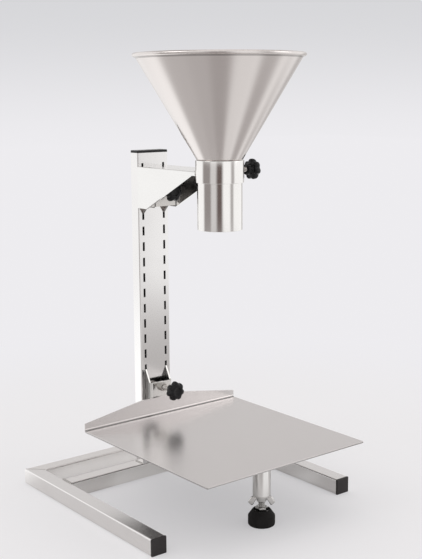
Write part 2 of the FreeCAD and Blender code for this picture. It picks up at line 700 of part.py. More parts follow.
def make_leg():
    """Round support leg under the tray's front, closed by a flanged threaded insert."""
    length = LEG_TOP + " - sizes.leg_floor - sizes.insert_flange"
    body = new_body("support_leg", ("0", LEG_AXIS, LEG_TOP), UPSIDE_DOWN)
    ring = new_sketch(body, "XY", "leg_ring")
    add_circle(ring, "sizes.leg_outer / 2")
    add_circle(ring, "sizes.leg_outer / 2 - sizes.leg_wall")
    pad(body, ring, length)

    insert = new_body("leg_insert", ("0", LEG_AXIS, "sizes.leg_floor"))
    bore = "sizes.foot_thread / 2 + sizes.running_gap"
    stem = "sizes.leg_outer / 2 - sizes.leg_wall - sizes.weld_gap"
    top = "sizes.insert_flange + sizes.insert_stem"
    turned(insert, "insert_profile", (
        (bore, "0"),
        ("sizes.leg_outer / 2", "0"),
        ("sizes.leg_outer / 2", "sizes.insert_flange"),
        (stem, "sizes.insert_flange"),
        (stem, top),
        (bore, top),
    ))


def make_wing_nut():
    """Wing nut, wings down, that locks the levelling stud against the leg."""
    body = new_body("wing_nut", ("0", LEG_AXIS, WING_TOP), ((0, 0, 1), -38))
    turned(body, "wing_hub", (
        ("0", "0"),
        ("sizes.wing_hub_top / 2", "0"),
        ("sizes.wing_hub_end / 2", "-sizes.wing_hub_height"),
        ("0", "-sizes.wing_hub_height"),
    ))
    wing = new_sketch(body, "XZ", "wing_blade")
    reach = "sizes.wing_span / 2"
    root = "sizes.wing_hub_end / 2 - 1"
    add_outline(wing, (
        (root, "-sizes.wing_edge"),
        ("sizes.wing_shoulder", "-sizes.wing_edge"),
        (reach, "sizes.wing_tip_rise - sizes.wing_drop"),
        (reach + " - sizes.wing_tip", "-sizes.wing_drop"),
        (root, "-sizes.wing_root"),
    ))
    blade = pad(body, wing, "sizes.wing_thick", both_ways=True)
    hub_edge = size("sizes.wing_hub_top / 2")
    solid = round_edges(
        body, blade, "sizes.wing_thick * 0.4",
        lambda edge: runs_along(edge, 1) and edge.BoundBox.XMin > hub_edge)
    other = body.newObject("PartDesign::Mirrored", "wing_pair")
    other.Originals = [blade, solid]
    plane = [item for item in body.Origin.OriginFeatures if item.Role == "YZ_Plane"]
    other.MirrorPlane = (plane[0], [""])
    body.Tip = other
    doc.recompute()
    bore = new_sketch(body, "XY", "wing_bore")
    add_circle(bore, "sizes.foot_thread / 2 + sizes.running_gap")
    pocket(body, bore, both_ways=True)


def make_foot():
    """Levelling foot: stud, nut and washer on a rubber pad with a recessed top."""
    stud("foot_stud", ("0", LEG_AXIS, "sizes.stud_foot"), None,
         "sizes.foot_thread", "sizes.stud_length")
    rubber = new_body("rubber_foot", ("0", LEG_AXIS, "0"))
    bore = "sizes.foot_thread / 2 + sizes.running_gap"
    blind = "sizes.stud_foot - sizes.seat_gap"
    turned(rubber, "foot_profile", (
        ("0", "0"),
        ("sizes.foot_outer / 2 - sizes.foot_round", "0"),
        ("sizes.foot_outer / 2 - sizes.foot_round * 0.3", "sizes.foot_round * 0.3"),
        ("sizes.foot_outer / 2", "sizes.foot_round"),
        ("sizes.foot_outer / 2", "sizes.foot_shoulder"),
        ("sizes.foot_neck / 2", "sizes.foot_height"),
        ("sizes.recess_outer / 2", "sizes.foot_height"),
        ("sizes.recess_outer / 2", RECESS_FLOOR),
        (bore, RECESS_FLOOR),
        (bore, blind),
        ("0", blind),
    ))

    washer = new_body("foot_washer", ("0", LEG_AXIS, RECESS_FLOOR))
    ring = new_sketch(washer, "XY", "washer_ring")
    add_circle(ring, "sizes.washer_outer / 2")
    add_circle(ring, bore)
    pad(washer, ring, "sizes.washer_thick")
    hex_nut("foot_nut", ("0", LEG_AXIS, RECESS_FLOOR + " + sizes.washer_thick"), None,
            "sizes.foot_nut_flats", "sizes.foot_nut_height", "sizes.foot_thread")


def check_and_write():
    """Stop on any failed feature or bad solid, then write one STEP file for each piece."""
    doc.recompute()
    failed = [item.Name for item in doc.Objects if {"Invalid", "Error"} & set(item.State)]
    if failed:
        raise RuntimeError("failed features: " + ", ".join(failed))
    for body in pieces:
        shape = body.Shape
        if shape.isNull() or not shape.isValid() or len(shape.Solids) != 1:
            raise RuntimeError("bad solid: " + body.Label)
        for feature in body.Group:
            if feature.TypeId in ("PartDesign::Pocket", "PartDesign::Groove"):
                before = feature.BaseFeature.Shape.Volume
                if not feature.Shape.Volume < before - 1e-6:
                    raise RuntimeError("cut removes nothing: " + feature.Name)
    os.makedirs("parts", exist_ok=True)
    for body in pieces:
        body.Shape.exportStep(os.path.join("parts", body.Label + ".step"))


make_base()
make_plugs()
make_column()
make_upper_bracket()
make_collar()
make_funnel()
make_tray()
make_hook_box()
make_clamps()
make_leg()
make_wing_nut()
make_foot()
check_and_write()
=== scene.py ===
"""Looks of the filling funnel with its stand: polished and brushed steel, black plastic and rubber.

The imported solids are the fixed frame. Round and threaded pieces are replaced by finer
surfaces worked out here, folded and flat pieces by softened copies of their solids, and
weld beads are added where the pieces join. All lengths are in metres.
"""
from __future__ import annotations

import logging
import math
from dataclasses import dataclass
from enum import Enum
from typing import Any, Sequence

import bmesh
import bpy
import numpy as np
from mathutils import Matrix, Vector


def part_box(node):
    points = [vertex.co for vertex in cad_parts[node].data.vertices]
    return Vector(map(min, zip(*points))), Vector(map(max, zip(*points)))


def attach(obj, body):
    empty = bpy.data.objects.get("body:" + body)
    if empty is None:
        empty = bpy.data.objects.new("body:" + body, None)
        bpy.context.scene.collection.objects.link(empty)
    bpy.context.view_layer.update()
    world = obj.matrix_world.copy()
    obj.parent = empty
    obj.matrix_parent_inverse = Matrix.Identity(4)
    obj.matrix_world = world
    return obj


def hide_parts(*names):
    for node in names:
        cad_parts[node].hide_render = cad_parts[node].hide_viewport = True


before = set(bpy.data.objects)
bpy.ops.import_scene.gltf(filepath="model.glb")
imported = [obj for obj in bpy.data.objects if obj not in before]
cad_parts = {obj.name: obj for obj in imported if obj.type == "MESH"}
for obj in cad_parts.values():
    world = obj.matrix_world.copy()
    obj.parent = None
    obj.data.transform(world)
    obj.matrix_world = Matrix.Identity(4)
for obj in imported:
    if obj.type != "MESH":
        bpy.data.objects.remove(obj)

LOG = logging.getLogger("filling_funnel")
MM = 0.001
TAU = 2.0 * math.pi

Array = np.ndarray
Piece = bpy.types.Object
Triple = tuple[float, float, float]
Colour = Triple
Span = tuple[float, float]
Band = tuple[float, float, float, float]

SIDES = ((-1.0, "left"), (1.0, "right"))
UP: Triple = (0.0, 0.0, 1.0)
ALONG_Y: Triple = (0.0, 1.0, 0.0)

# Weld beads: length of a ripple, how far the bead swells in it, points round and along it
RIPPLE = 1.6 * MM
SWELL = 0.12
BEAD_SIDES = 10
BEAD_ROWS = 5

# Softened copies: distance of corners that are merged, and in degrees how flat an edge is
# to be dissolved, how sharp to stay crisp and how sharp to be broken
MERGE = 0.001 * MM
DISSOLVE_BELOW = 0.5
CRISP_ABOVE = 40.0
BREAK_ABOVE = 50.0

# Threads: height of the ridge and length of the end chamfer in pitches, points round and
# along a turn
RIDGE = 0.55
THREAD_CHAMFER = 0.8
THREAD_SIDES = 28
THREAD_ROWS = 8

# Nuts: points round, share of the flats' half width where the bevel starts, and chamfer
# of the bore
NUT_SIDES = 72
BEVEL_START = 0.97
BORE_CHAMFER = 0.35 * MM

# Colour of the mirrored room where it is bright, and where it is dark
ROOM_LIGHT: Colour = (1.0, 0.99, 0.985)
ROOM_DARK: Colour = (0.05, 0.01, 0.0)

# Front of the tray's flange, in millimetres
TRAY_FOLD = 73.0

# Angle of the wings about the leg, and brightness of the mirrored room outside its bands
WING_TURN = math.radians(-38.0)
ROOM_LEVEL = 1.17

# Bearing from the camera's side in degrees, start, end and softness, and brightness
ROOM_BANDS: tuple[Band, ...] = (
    (-200.0, -158.0, 8.0, 0.9),
    (-86.0, -45.0, 7.0, 0.32),
    (-45.0, -15.0, 8.0, 0.76),
    (-15.0, 13.0, 8.0, 0.12),
    (54.0, 71.0, 6.0, 0.5),
    (140.0, 162.0, 8.0, 0.6),
    (162.0, 200.0, 6.0, 0.9),
)
HIGH_BANDS: tuple[Band, ...] = (
    (-200.0, -150.0, 8.0, 0.76),
    (50.0, 110.0, 10.0, 0.95),
    (150.0, 200.0, 8.0, 0.76),
)
FLOOR_BANDS: tuple[Band, ...] = (
    (-150.0, -100.0, 8.0, 1.38),
    (-100.0, -50.0, 8.0, 0.68),
    (-50.0, -12.0, 8.0, 0.62),
    (-12.0, 24.0, 8.0, 0.5),
    (24.0, 60.0, 8.0, 1.0),
    (68.0, 100.0, 8.0, 0.58),
    (115.0, 138.0, 8.0, 0.66),
)

# Name, place, width and height in metres, and power in watts
STUDIO_LAMPS = (
    ("overhead_softbox", (0.2, -0.2, 2.2), 1.8, 1.8, 9.0),
    ("left_softbox", (-1.8, 0.3, 1.45), 1.0, 1.4, 5.0),
    ("right_softbox", (1.6, -1.3, 1.2), 1.0, 1.5, 4.0),
)

# Radius and height in millimetres of a knob, from its hub's end to the middle of its face
KNOB_PROFILE = (
    (5.9, 0.0), (6.2, 0.1), (6.45, 0.35), (6.5, 0.7), (6.5, 4.6), (6.7, 5.3), (7.3, 5.8),
    (8.4, 6.0), (10.6, 6.1), (11.6, 6.35), (12.2, 6.9), (12.5, 7.8), (12.5, 9.0),
    (12.45, 10.4), (12.2, 11.8), (11.7, 13.0), (10.9, 13.9), (9.8, 14.5), (8.4, 14.85),
    (6.6, 15.0), (5.4, 15.0), (5.0, 14.85), (4.8, 14.5), (4.4, 14.35), (2.0, 14.3),
)

# Distance from the axis and height below the hub's top of a wing's outline, in millimetres
WING_OUTLINE = (
    (4.5, -0.75), (8.5, -0.62), (11.3, -1.0), (13.6, -3.6), (15.7, -7.5),
    (15.3, -9.1), (12.2, -12.0), (10.8, -12.1), (7.8, -7.4), (4.5, -2.5),
)


# Shader maths


@dataclass(frozen=True, eq=False)
class Signal:
    """Output socket in a node tree, with arithmetic that adds Math nodes."""

    graph: Graph
    socket: bpy.types.NodeSocket

    def math(self, operation: str, *others: Signal | float) -> Signal:
        """Adds a Math node with this signal first."""
        return self.graph.add("ShaderNodeMath", {"operation": operation}, self, *others)

    def __add__(self, other: Signal | float) -> Signal:
        """Sum."""
        return self.math("ADD", other)

    def __sub__(self, other: Signal | float) -> Signal:
        """Difference."""
        return self.math("SUBTRACT", other)

    def __rsub__(self, other: float) -> Signal:
        """Number minus signal."""
        return self.graph.add("ShaderNodeMath", {"operation": "SUBTRACT"}, other, self)

    def __mul__(self, other: Signal | float) -> Signal:
        """Product."""
        return self.math("MULTIPLY", other)

    def clamp(self) -> Signal:
        """The signal kept between 0 and 1."""
        return self.math("MAXIMUM", 0.0).math("MINIMUM", 1.0)

    def step(self, low: float, high: float) -> Signal:
        """Smooth step from 0 below low to 1 above high."""
        settings = {"interpolation_type": "SMOOTHSTEP"}
        return self.graph.add("ShaderNodeMapRange", settings, self, low, high, 0.0, 1.0)

    def window(self, low: float, high: float, soft: float) -> Signal:
        """1 between low and high and 0 outside, with soft edges."""
        return self.step(low - soft, low + soft) * (1.0 - self.step(high - soft, high + soft))


class Graph:
    """Node tree of a material or of the world."""

    def __init__(self, owner: bpy.types.ID) -> None:
        """Turns the nodes of a material or a world on and empties them."""
        owner.use_nodes = True
        self.tree = owner.node_tree
        self.tree.nodes.clear()

    def node(self, kind: str, settings: dict | None = None, *inputs: Any) -> bpy.types.Node:
        """Adds a node.

        Args:
            kind: Blender's name of the node type.
            settings: the node's own settings, put in before its sockets.
            inputs: values or signals of its first input sockets; None skips one.

        Returns:
            The node.
        """
        made = self.tree.nodes.new(kind)
        for name, value in (settings or {}).items():
            setattr(made, name, value)
        for socket, value in zip(made.inputs, inputs):
            self.put(socket, value)
        return made

    def add(self, kind: str, settings: dict | None = None, *inputs: Any, out: int = 0) -> Signal:
        """Adds a node and gives its output socket of number out; the rest as for node."""
        return Signal(self, self.node(kind, settings, *inputs).outputs[out])

    def put(self, socket: bpy.types.NodeSocket, value: Any) -> None:
        """Links a signal to a socket, or sets the socket's own value."""
        if value is None:
            return
        if isinstance(value, Signal):
            self.tree.links.new(value.socket, socket)
        elif socket.type == "RGBA":
            socket.default_value = (*value, 1.0)
        else:
            socket.default_value = value

    def wire(self, node: bpy.types.Node, values: dict[str, Any]) -> None:
        """Puts each value or signal in the node's socket of that name."""
        for name, value in values.items():
            self.put(node.inputs[name], value)

    def position(self) -> tuple[Signal, Signal, Signal]:
        """Object coordinates in millimetres, one signal for each axis."""
        point = self.add("ShaderNodeTexCoord", out=3)
        return self.split(point, 1000.0)

    def split(self, vector: Signal, scale: float = 1.0) -> tuple[Signal, Signal, Signal]:
        """Three parts of a vector, each times scale."""
        parts = self.node("ShaderNodeSeparateXYZ", None, vector).outputs
        x, y, z = (Signal(self, part) * scale for part in parts)
        return x, y, z

    def vector(self, x: Any, y: Any, z: Any) -> Signal:
        """Vector from three values."""
        return self.add("ShaderNodeCombineXYZ", None, x, y, z)

    def noise(self, point: Signal, scale: float, detail: float = 2.0, rough: float = 0.5) -> Signal:
        """Fractal noise about 0.5, with scale cells to a unit and detail octaves."""
        return self.add("ShaderNodeTexNoise", None, point, None, scale, detail, rough)

    def blend(self, factor: Any, low: Any, high: Any) -> Signal:
        """Colour from low at factor 0 to high at factor 1, and on past them."""
        settings = {"data_type": "RGBA", "clamp_factor": False}
        return self.add("ShaderNodeMix", settings, factor, *[None] * 5, low, high, out=2)

    def tint(self, colour: Colour, low: float, high: float, factor: Signal) -> Signal:
        """One colour between two brightnesses."""
        dark = tuple(low * part for part in colour)
        light = tuple(high * part for part in colour)
        return self.blend(factor, dark, light)

    def bump(self, height: Signal, depth_mm: float, strength: float = 1.0) -> Signal:
        """Normal bent by a height of 0 to 1 that stands for depth_mm."""
        node = self.node("ShaderNodeBump")
        self.wire(node, {"Strength": strength, "Distance": depth_mm * MM, "Height": height})
        return Signal(self, node.outputs[0])


# Finishes


class Grain(Enum):
    """Direction that a steel surface was ground or rolled in."""

    ALONG_X = "x"
    ALONG_Y = "y"
    ALONG_Z = "z"
    ROUND = "round"


@dataclass(frozen=True)
class Finish:
    """What every finish has: the name of its material and how it is applied."""

    name: str

    def material(self) -> bpy.types.Material:
        """Builds the material once and returns it."""
        found = bpy.data.materials.get(self.name)
        if found:
            return found
        made = bpy.data.materials.new(self.name)
        graph = Graph(made)
        shader = graph.node("ShaderNodeBsdfPrincipled")
        graph.node("ShaderNodeOutputMaterial", None, Signal(graph, shader.outputs[0]))
        self.shade(graph, shader)
        return made

    def shade(self, graph: Graph, shader: bpy.types.ShaderNode) -> None:
        """Sets the sockets of the shader."""
        raise NotImplementedError

    def apply(self, piece: Piece) -> None:
        """Puts the material in every slot of a piece."""
        material = self.material()
        if not piece.data.materials:
            piece.data.materials.append(material)
        for number in range(len(piece.data.materials)):
            piece.data.materials[number] = material


@dataclass(frozen=True)
class PaintedShading:
    """Box in millimetres, in the row frame, of painted shade or painted highlight: the colour is
    scaled darker or brighter there, and the surface may be rougher.
    """

    low: Triple
    high: Triple
    shade: float
    rougher: float = 0.0
    soft: float = 0.2

    def share(self, place: Sequence[Signal]) -> Signal:
        """Product of the six soft steps at the box's sides: 1 inside, 0 outside."""
        inside: Signal | float = 1.0
        for value, low, high in zip(place, self.low, self.high):
            inside = value.window(low, high, self.soft) * inside
        return inside


@dataclass(frozen=True)
class Steel(Finish):
    """Stainless steel with a fine grain, faint smears, a varying sheen, and painted shade or
    painted highlight in listed boxes.
    """

    colour: Colour = (0.62, 0.605, 0.59)
    roughness: float = 0.2
    grain: Grain = Grain.ALONG_Z
    grain_depth_mm: float = 0.004
    grain_size_mm: float = 0.5
    grain_stretch: float = 60.0
    contrast: float = 0.1
    smear: float = 0.06
    axis_xy_mm: Span = (0.0, 0.0)
    # Boxes where shade or highlight is painted into the colour.
    painted_shading: tuple[PaintedShading, ...] = ()

    def shade(self, graph: Graph, shader: bpy.types.ShaderNode) -> None:
        """Stretched noise along the grain, for colour, roughness and bump, with painted shade or
        painted highlight in the listed boxes.
        """
        x, y, z = graph.position()
        along = 1.0 / (self.grain_size_mm * self.grain_stretch)
        across = 1.0 / self.grain_size_mm
        if self.grain is Grain.ROUND:
            side = x - self.axis_xy_mm[0]
            front = y - self.axis_xy_mm[1]
            radius = (side * side + front * front).math("SQRT")
            point = graph.vector(side * along, front * along, (z + radius * 0.35) * across)
        else:
            steps = [along if axis == self.grain.value else across for axis in "xyz"]
            point = graph.vector(x * steps[0], y * steps[1], z * steps[2])
        fine = graph.noise(point, 1.0, 3.0, 0.65)
        broad = graph.noise(graph.vector(x, y, z), 1.0 / 38.0, 3.0, 0.55)
        colour = graph.tint(
            self.colour, 1.0 - self.contrast, 1.0 + self.contrast, fine * 0.6 + broad * 0.4)
        streak = (fine - 0.5) * (self.roughness * 0.5)
        smeared = (broad - 0.5).math("ABSOLUTE") * (2.0 * self.smear)
        roughness = streak + smeared + self.roughness
        # Painted shade and painted highlight: in each box the colour is blended to the base colour
        # times its shade factor, and roughness is raised.
        for patch in self.painted_shading:
            share = patch.share((x, y, z))
            shaded_colour = tuple(patch.shade * part for part in self.colour)
            colour = graph.blend(share, colour, shaded_colour)
            roughness = share * patch.rougher + roughness
        graph.wire(shader, {
            "Base Color": colour, "Metallic": 1.0, "Roughness": roughness.clamp(),
            "Normal": graph.bump(fine, self.grain_depth_mm)})


@dataclass(frozen=True)
class Moulded(Finish):
    """Moulded black plastic or rubber with a fine grain and faint wear."""

    colour: Colour
    roughness: float
    coat: float = 0.0
    grain_cells: float = 1.0 / 1.4
    grain_weight: float = 0.5
    grain_mm: float = 0.02
    wear_mm: float = 7.0
    wear_tint: Span = (0.8, 1.3)
    wear_roughness: float = 0.2
    specular: float = 0.12

    def shade(self, graph: Graph, shader: bpy.types.ShaderNode) -> None:
        """Fine noise in the bump, broad noise in colour and roughness."""
        point = graph.vector(*graph.position())
        grain = graph.noise(point, self.grain_cells, 2.0, self.grain_weight)
        wear = graph.noise(point, 1.0 / self.wear_mm, 3.0, 0.6)
        graph.wire(shader, {
            "Base Color": graph.tint(self.colour, *self.wear_tint, wear),
            "Roughness": ((wear - 0.5) * self.wear_roughness + self.roughness).clamp(),
            "Coat Weight": self.coat, "Coat Roughness": 0.12,
            "Specular IOR Level": self.specular, "Normal": graph.bump(grain, self.grain_mm)})


SEAM_STEEL = Steel("weld_seam", (0.42, 0.405, 0.39), 0.34, Grain.ALONG_Z, 0.02, 0.9, 2.0)


# Surfaces


def linked(name: str, data: bpy.types.ID) -> Piece:
    """New object in the scene."""
    made = bpy.data.objects.new(name, data)
    bpy.context.scene.collection.objects.link(made)
    return made


def mesh_piece(name: str, points: Array, faces: Sequence[Sequence[int]]) -> Piece:
    """Makes a smooth mesh object at the origin.

    Args:
        name: name of the piece.
        points: (n, 3) corners in metres.
        faces: corner numbers of each face, anticlockwise seen from outside.

    Returns:
        The new object.
    """
    mesh = bpy.data.meshes.new(name)
    mesh.from_pydata(points.tolist(), [], faces)
    mesh.update()
    mesh.shade_smooth()
    return linked(name, mesh)


def ring_faces(rows: int, sides: int, closed: bool) -> list[list[int]]:
    """Quads between rings of points that are stored ring by ring.

    Args:
        rows: number of rings.
        sides: points of a ring.
        closed: whether the last ring joins the first.

    Returns:
        Corner numbers of each quad.
    """
    ring = np.arange(rows if closed else rows - 1)[:, None] * sides
    after = (ring + sides) % (rows * sides)
    point = np.arange(sides)
    beside = (point + 1) % sides
    corners = np.stack([ring + point, ring + beside, after + beside, after + point], -1)
    return corners.reshape(-1, 4).tolist()


def capped_faces(rows: int, sides: int, closed: bool) -> list[list[int]]:
    """Quads between rings, with a face over each end unless they close to a loop."""
    faces = ring_faces(rows, sides, closed)
    if not closed:
        last = (rows - 1) * sides
        faces += [list(range(sides))[::-1], list(range(last, last + sides))]
    return faces


def set_sharp(piece: Piece, degrees: float = 32.0) -> Piece:
    """Keeps edges sharper than an angle crisp while the rest is shaded smooth."""
    piece.data.set_sharp_from_angle(angle=math.radians(degrees))
    return piece


@dataclass(frozen=True)
class Seat:
    """A place and direction in the row frame: origin, and where local X and Z point."""

    origin: Triple
    forward: Triple = UP
    side: Triple = (1.0, 0.0, 0.0)

    def place(self, points: Array) -> Array:
        """Local points, (..., 3), moved into the row frame as an (n, 3) array."""
        z = np.array(self.forward, float)
        x = np.array(self.side, float)
        y = np.cross(z, x)
        return points.reshape(-1, 3) @ np.stack([x, y, z]) + np.array(self.origin, float)


def upright(centre: Array, height: float) -> Seat:
    """Seat at a height over the centre, with its axis up."""
    return Seat((centre[0], centre[1], height))


def full_turn(count: int) -> Array:
    """Evenly spaced angles round a full turn."""
    return np.arange(count) * TAU / count


def polar(radius: Any, angle: Array, height: Any) -> Array:
    """Points at a radius, an angle and a height, as a (..., 3) array."""
    parts = np.broadcast_arrays(radius * np.cos(angle), radius * np.sin(angle), height)
    return np.stack(parts, -1)


def skin(name: str, seat: Seat, points: Array, closed: bool, degrees: float = 32.0) -> Piece:
    """Surface over rings of points, joined to a loop or closed by a fan at each end.

    Args:
        name: name of the piece.
        seat: where the local points stand.
        points: (rings, points of a ring, 3) local points.
        closed: whether the last ring joins the first.
        degrees: angle from which an edge stays crisp.

    Returns:
        The piece.
    """
    rows, segments = points.shape[:2]
    faces = ring_faces(rows, segments, closed)
    flat = seat.place(points)
    if not closed:
        middles = np.array([[0.0, 0.0, points[end, 0, 2]] for end in (0, -1)])
        flat = np.vstack([flat, seat.place(middles)])
        count = rows * segments
        last = count - segments
        pairs = [(k, (k + 1) % segments) for k in range(segments)]
        faces += [[count, b, a] for a, b in pairs]
        faces += [[count + 1, last + a, last + b] for a, b in pairs]
    return set_sharp(mesh_piece(name, flat, faces), degrees)


def turned(
    name: str, seat: Seat, profile: Sequence[Span], segments: int,
    lobes: Lobes | None = None, closed: bool = False,
) -> Piece:
    """Surface of revolution: radius and height follow the profile, the angle goes round.

    Point(i, a) = (r_i k cos a, r_i k sin a, h_i), where k is 1, or the lobes' factor at a.

    Args:
        name: name of the piece.
        seat: where its axis stands.
        profile: radius and height in metres, anticlockwise seen with the axis to the left.
        segments: points round the axis.
        lobes: waviness of the radius round the axis.
        closed: whether the profile is a closed loop; otherwise a fan closes each end.

    Returns:
        The piece.
    """
    line = np.array(profile, float)
    angle = full_turn(segments)
    radius = line[:, :1]
    if lobes is not None:
        radius = radius * lobes.factor(angle, line[:, 0])
    return skin(name, seat, polar(radius, angle, line[:, 1:]), closed)


def arc(centre: Span, radius: float, start: float, end: float, count: int) -> list:
    """Points on a circle arc, angles in degrees, anticlockwise when end is larger."""
    angles = np.radians(np.linspace(start, end, count))
    return [(centre[0] + radius * math.cos(a), centre[1] + radius * math.sin(a)) for a in angles]


def rounded(corners: Sequence[Triple], count: int = 5) -> list:
    """Closed or open outline with rounded corners.

    Args:
        corners: across, up and the radius of each corner; radius 0 stays sharp.
        count: points on each rounded corner.

    Returns:
        Points of the outline, in the same order.
    """
    result = []
    total = len(corners)
    for number, (x, y, radius) in enumerate(corners):
        here = np.array([x, y])
        if radius <= 0.0:
            result.append((x, y))
            continue
        before = np.array(corners[number - 1][:2]) - here
        after = np.array(corners[(number + 1) % total][:2]) - here
        before /= np.linalg.norm(before)
        after /= np.linalg.norm(after)
        half = math.acos(max(-1.0, min(1.0, float(before @ after)))) / 2.0
        reach = radius / math.tan(half)
        start = here + before * reach
        end = here + after * reach
        for step in np.linspace(0.0, 1.0, count):
            low = start + (here - start) * step
            high = here + (end - here) * step
            result.append(tuple(low + (high - low) * step))
    return result


@dataclass(frozen=True)
class Lobes:
    """Waviness of a moulded knob: rounded lobes with scooped hollows between them."""

    count: int
    depth: float
    outer: float
    start_radius: float

    def factor(self, angle: Array, radius: Array) -> Array:
        """Factor on the radius for each profile point and angle.

        The hollow is depth * (0.5 - 0.5 cos(n a))^1.6 at the rim and fades to nothing at
        the start radius, so the hub and the middle of the face stay round.

        Args:
            angle: angles round the axis.
            radius: radius of each profile point.

        Returns:
            (points, angles) array of factors.
        """
        wave = (0.5 - 0.5 * np.cos(self.count * angle)) ** 1.6
        fade = np.clip((radius - self.start_radius) / (self.outer - self.start_radius), 0, 1)
        fade = fade * fade * (3.0 - 2.0 * fade)
        return 1.0 - self.depth / self.outer * wave[None, :] * fade[:, None]


def threaded_rod(
    name: str, seat: Seat, length: float, diameter: float, pitch: float, plain: float = 0.0
) -> Piece:
    """Rod with a real helical thread and chamfered ends.

    The radius at height h and angle a is the core plus the ridge height times a rounded
    triangle wave of (h / pitch - a / 2 pi), tapered to the core over the end chamfers.

    Args:
        name: name of the piece.
        seat: its lower end and direction.
        length: length of the rod.
        diameter: outside diameter of the thread.
        pitch: rise for each turn.
        plain: length at the far end that stays plain, hidden inside a knob.

    Returns:
        The piece.
    """
    rows = int(math.ceil((length - plain) / pitch * THREAD_ROWS)) + 1
    height = np.append(np.linspace(0.0, length - plain, rows), length)
    angle = full_turn(THREAD_SIDES)
    phase = height[:, None] / pitch - angle / TAU
    wave = 2.0 * np.abs(phase - np.floor(phase + 0.5))
    wave = wave * wave * (3.0 - 2.0 * wave)
    ridge = RIDGE * pitch
    core = diameter / 2.0 - ridge
    ends = np.minimum(height, np.maximum(length - plain - height, 0.0))
    taper = np.clip(ends / (THREAD_CHAMFER * pitch), 0.0, 1.0)[:, None]
    radius = core + ridge * wave * taper
    return skin(name, seat, polar(radius, angle, height[:, None]), False, 60.0)


def hexagon_nut(
    name: str, seat: Seat, flats: float, height: float, bore: float, both_ends: bool
) -> Piece:
    """Hexagon nut with its corners bevelled by a 30 degree cone.

    The radius at angle a is that of the hexagon, flats / 2 / cos(a mod 60), and each end
    falls by the tangent of 30 degrees past the inscribed circle.

    Args:
        name: name of the piece.
        seat: its lower face and direction.
        flats: width across flats.
        height: height of the nut.
        bore: radius of the hole.
        both_ends: whether the lower end is bevelled too.

    Returns:
        The piece.
    """
    angle = full_turn(NUT_SIDES)
    local = (angle + math.pi / 6) % (math.pi / 3) - math.pi / 6
    hexagon = flats / 2.0 / np.cos(local)
    face = flats / 2.0 * BEVEL_START
    drop = np.maximum(hexagon - face, 0.0) * math.tan(math.radians(30))
    wide = bore + BORE_CHAMFER
    lower = [(hexagon * 0.995, 0.0), (hexagon, 0.0)]
    if both_ends:
        lower = [(face, 0.0), (hexagon, drop)]
    rings = [(bore, BORE_CHAMFER), (wide, 0.0), *lower, (hexagon, height - drop), (face, height),
             (wide, height), (bore, height - BORE_CHAMFER)]
    points = np.stack([polar(radius, angle, level) for radius, level in rings])
    return skin(name, seat, points, True, 20.0)


def softened(name: str, node: str, edge: float) -> Piece:
    """Copy of a folded or flat solid with merged corners and broken edges.

    Args:
        name: name of the piece.
        node: the solid it copies.
        edge: width of the bevel along its sharp edges.

    Returns:
        The piece.
    """
    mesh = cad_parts[node].data.copy()
    mesh.name = name
    work = bmesh.new()
    work.from_mesh(mesh)
    bmesh.ops.remove_doubles(work, verts=work.verts, dist=MERGE)
    bmesh.ops.dissolve_limit(
        work, angle_limit=math.radians(DISSOLVE_BELOW), verts=work.verts, edges=work.edges)
    work.to_mesh(mesh)
    work.free()
    mesh.shade_smooth()
    piece = set_sharp(linked(name, mesh), CRISP_ABOVE)
    if edge > 0.0:
        bevel = piece.modifiers.new("broken_edges", "BEVEL")
        bevel.width = edge
        bevel.segments = 2
        bevel.limit_method = "ANGLE"
        bevel.angle_limit = math.radians(BREAK_ABOVE)
    weight = piece.modifiers.new("flat_shading", "WEIGHTED_NORMAL")
    weight.keep_sharp = True
    return piece


def corners_of(node: str) -> tuple[Array, Array]:
    """Lowest and highest corner of a solid, in metres."""
    low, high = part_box(node)
    return np.array(low), np.array(high)


def install(piece: Piece, body: str, finish: Finish, slot: str, *replaced: str) -> None:
    """Dresses a new piece and ties it to its body.

    Args:
        piece: the piece.
        body: body that it moves with.
        finish: its finish.
        slot: the record's material slot; not used.
        replaced: solids that it stands for.
    """
    finish.apply(piece)
    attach(piece, body)
    if replaced:
        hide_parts(*replaced)
    LOG.info("%s rides on %s", piece.name, body)


def dress(
    name: str, node: str, body: str, finish: Finish, slot: str, edge: float = 0.25 * MM
) -> None:
    """Puts a softened copy in the place of one solid."""
    install(softened(name, node, edge), body, finish, slot, node)


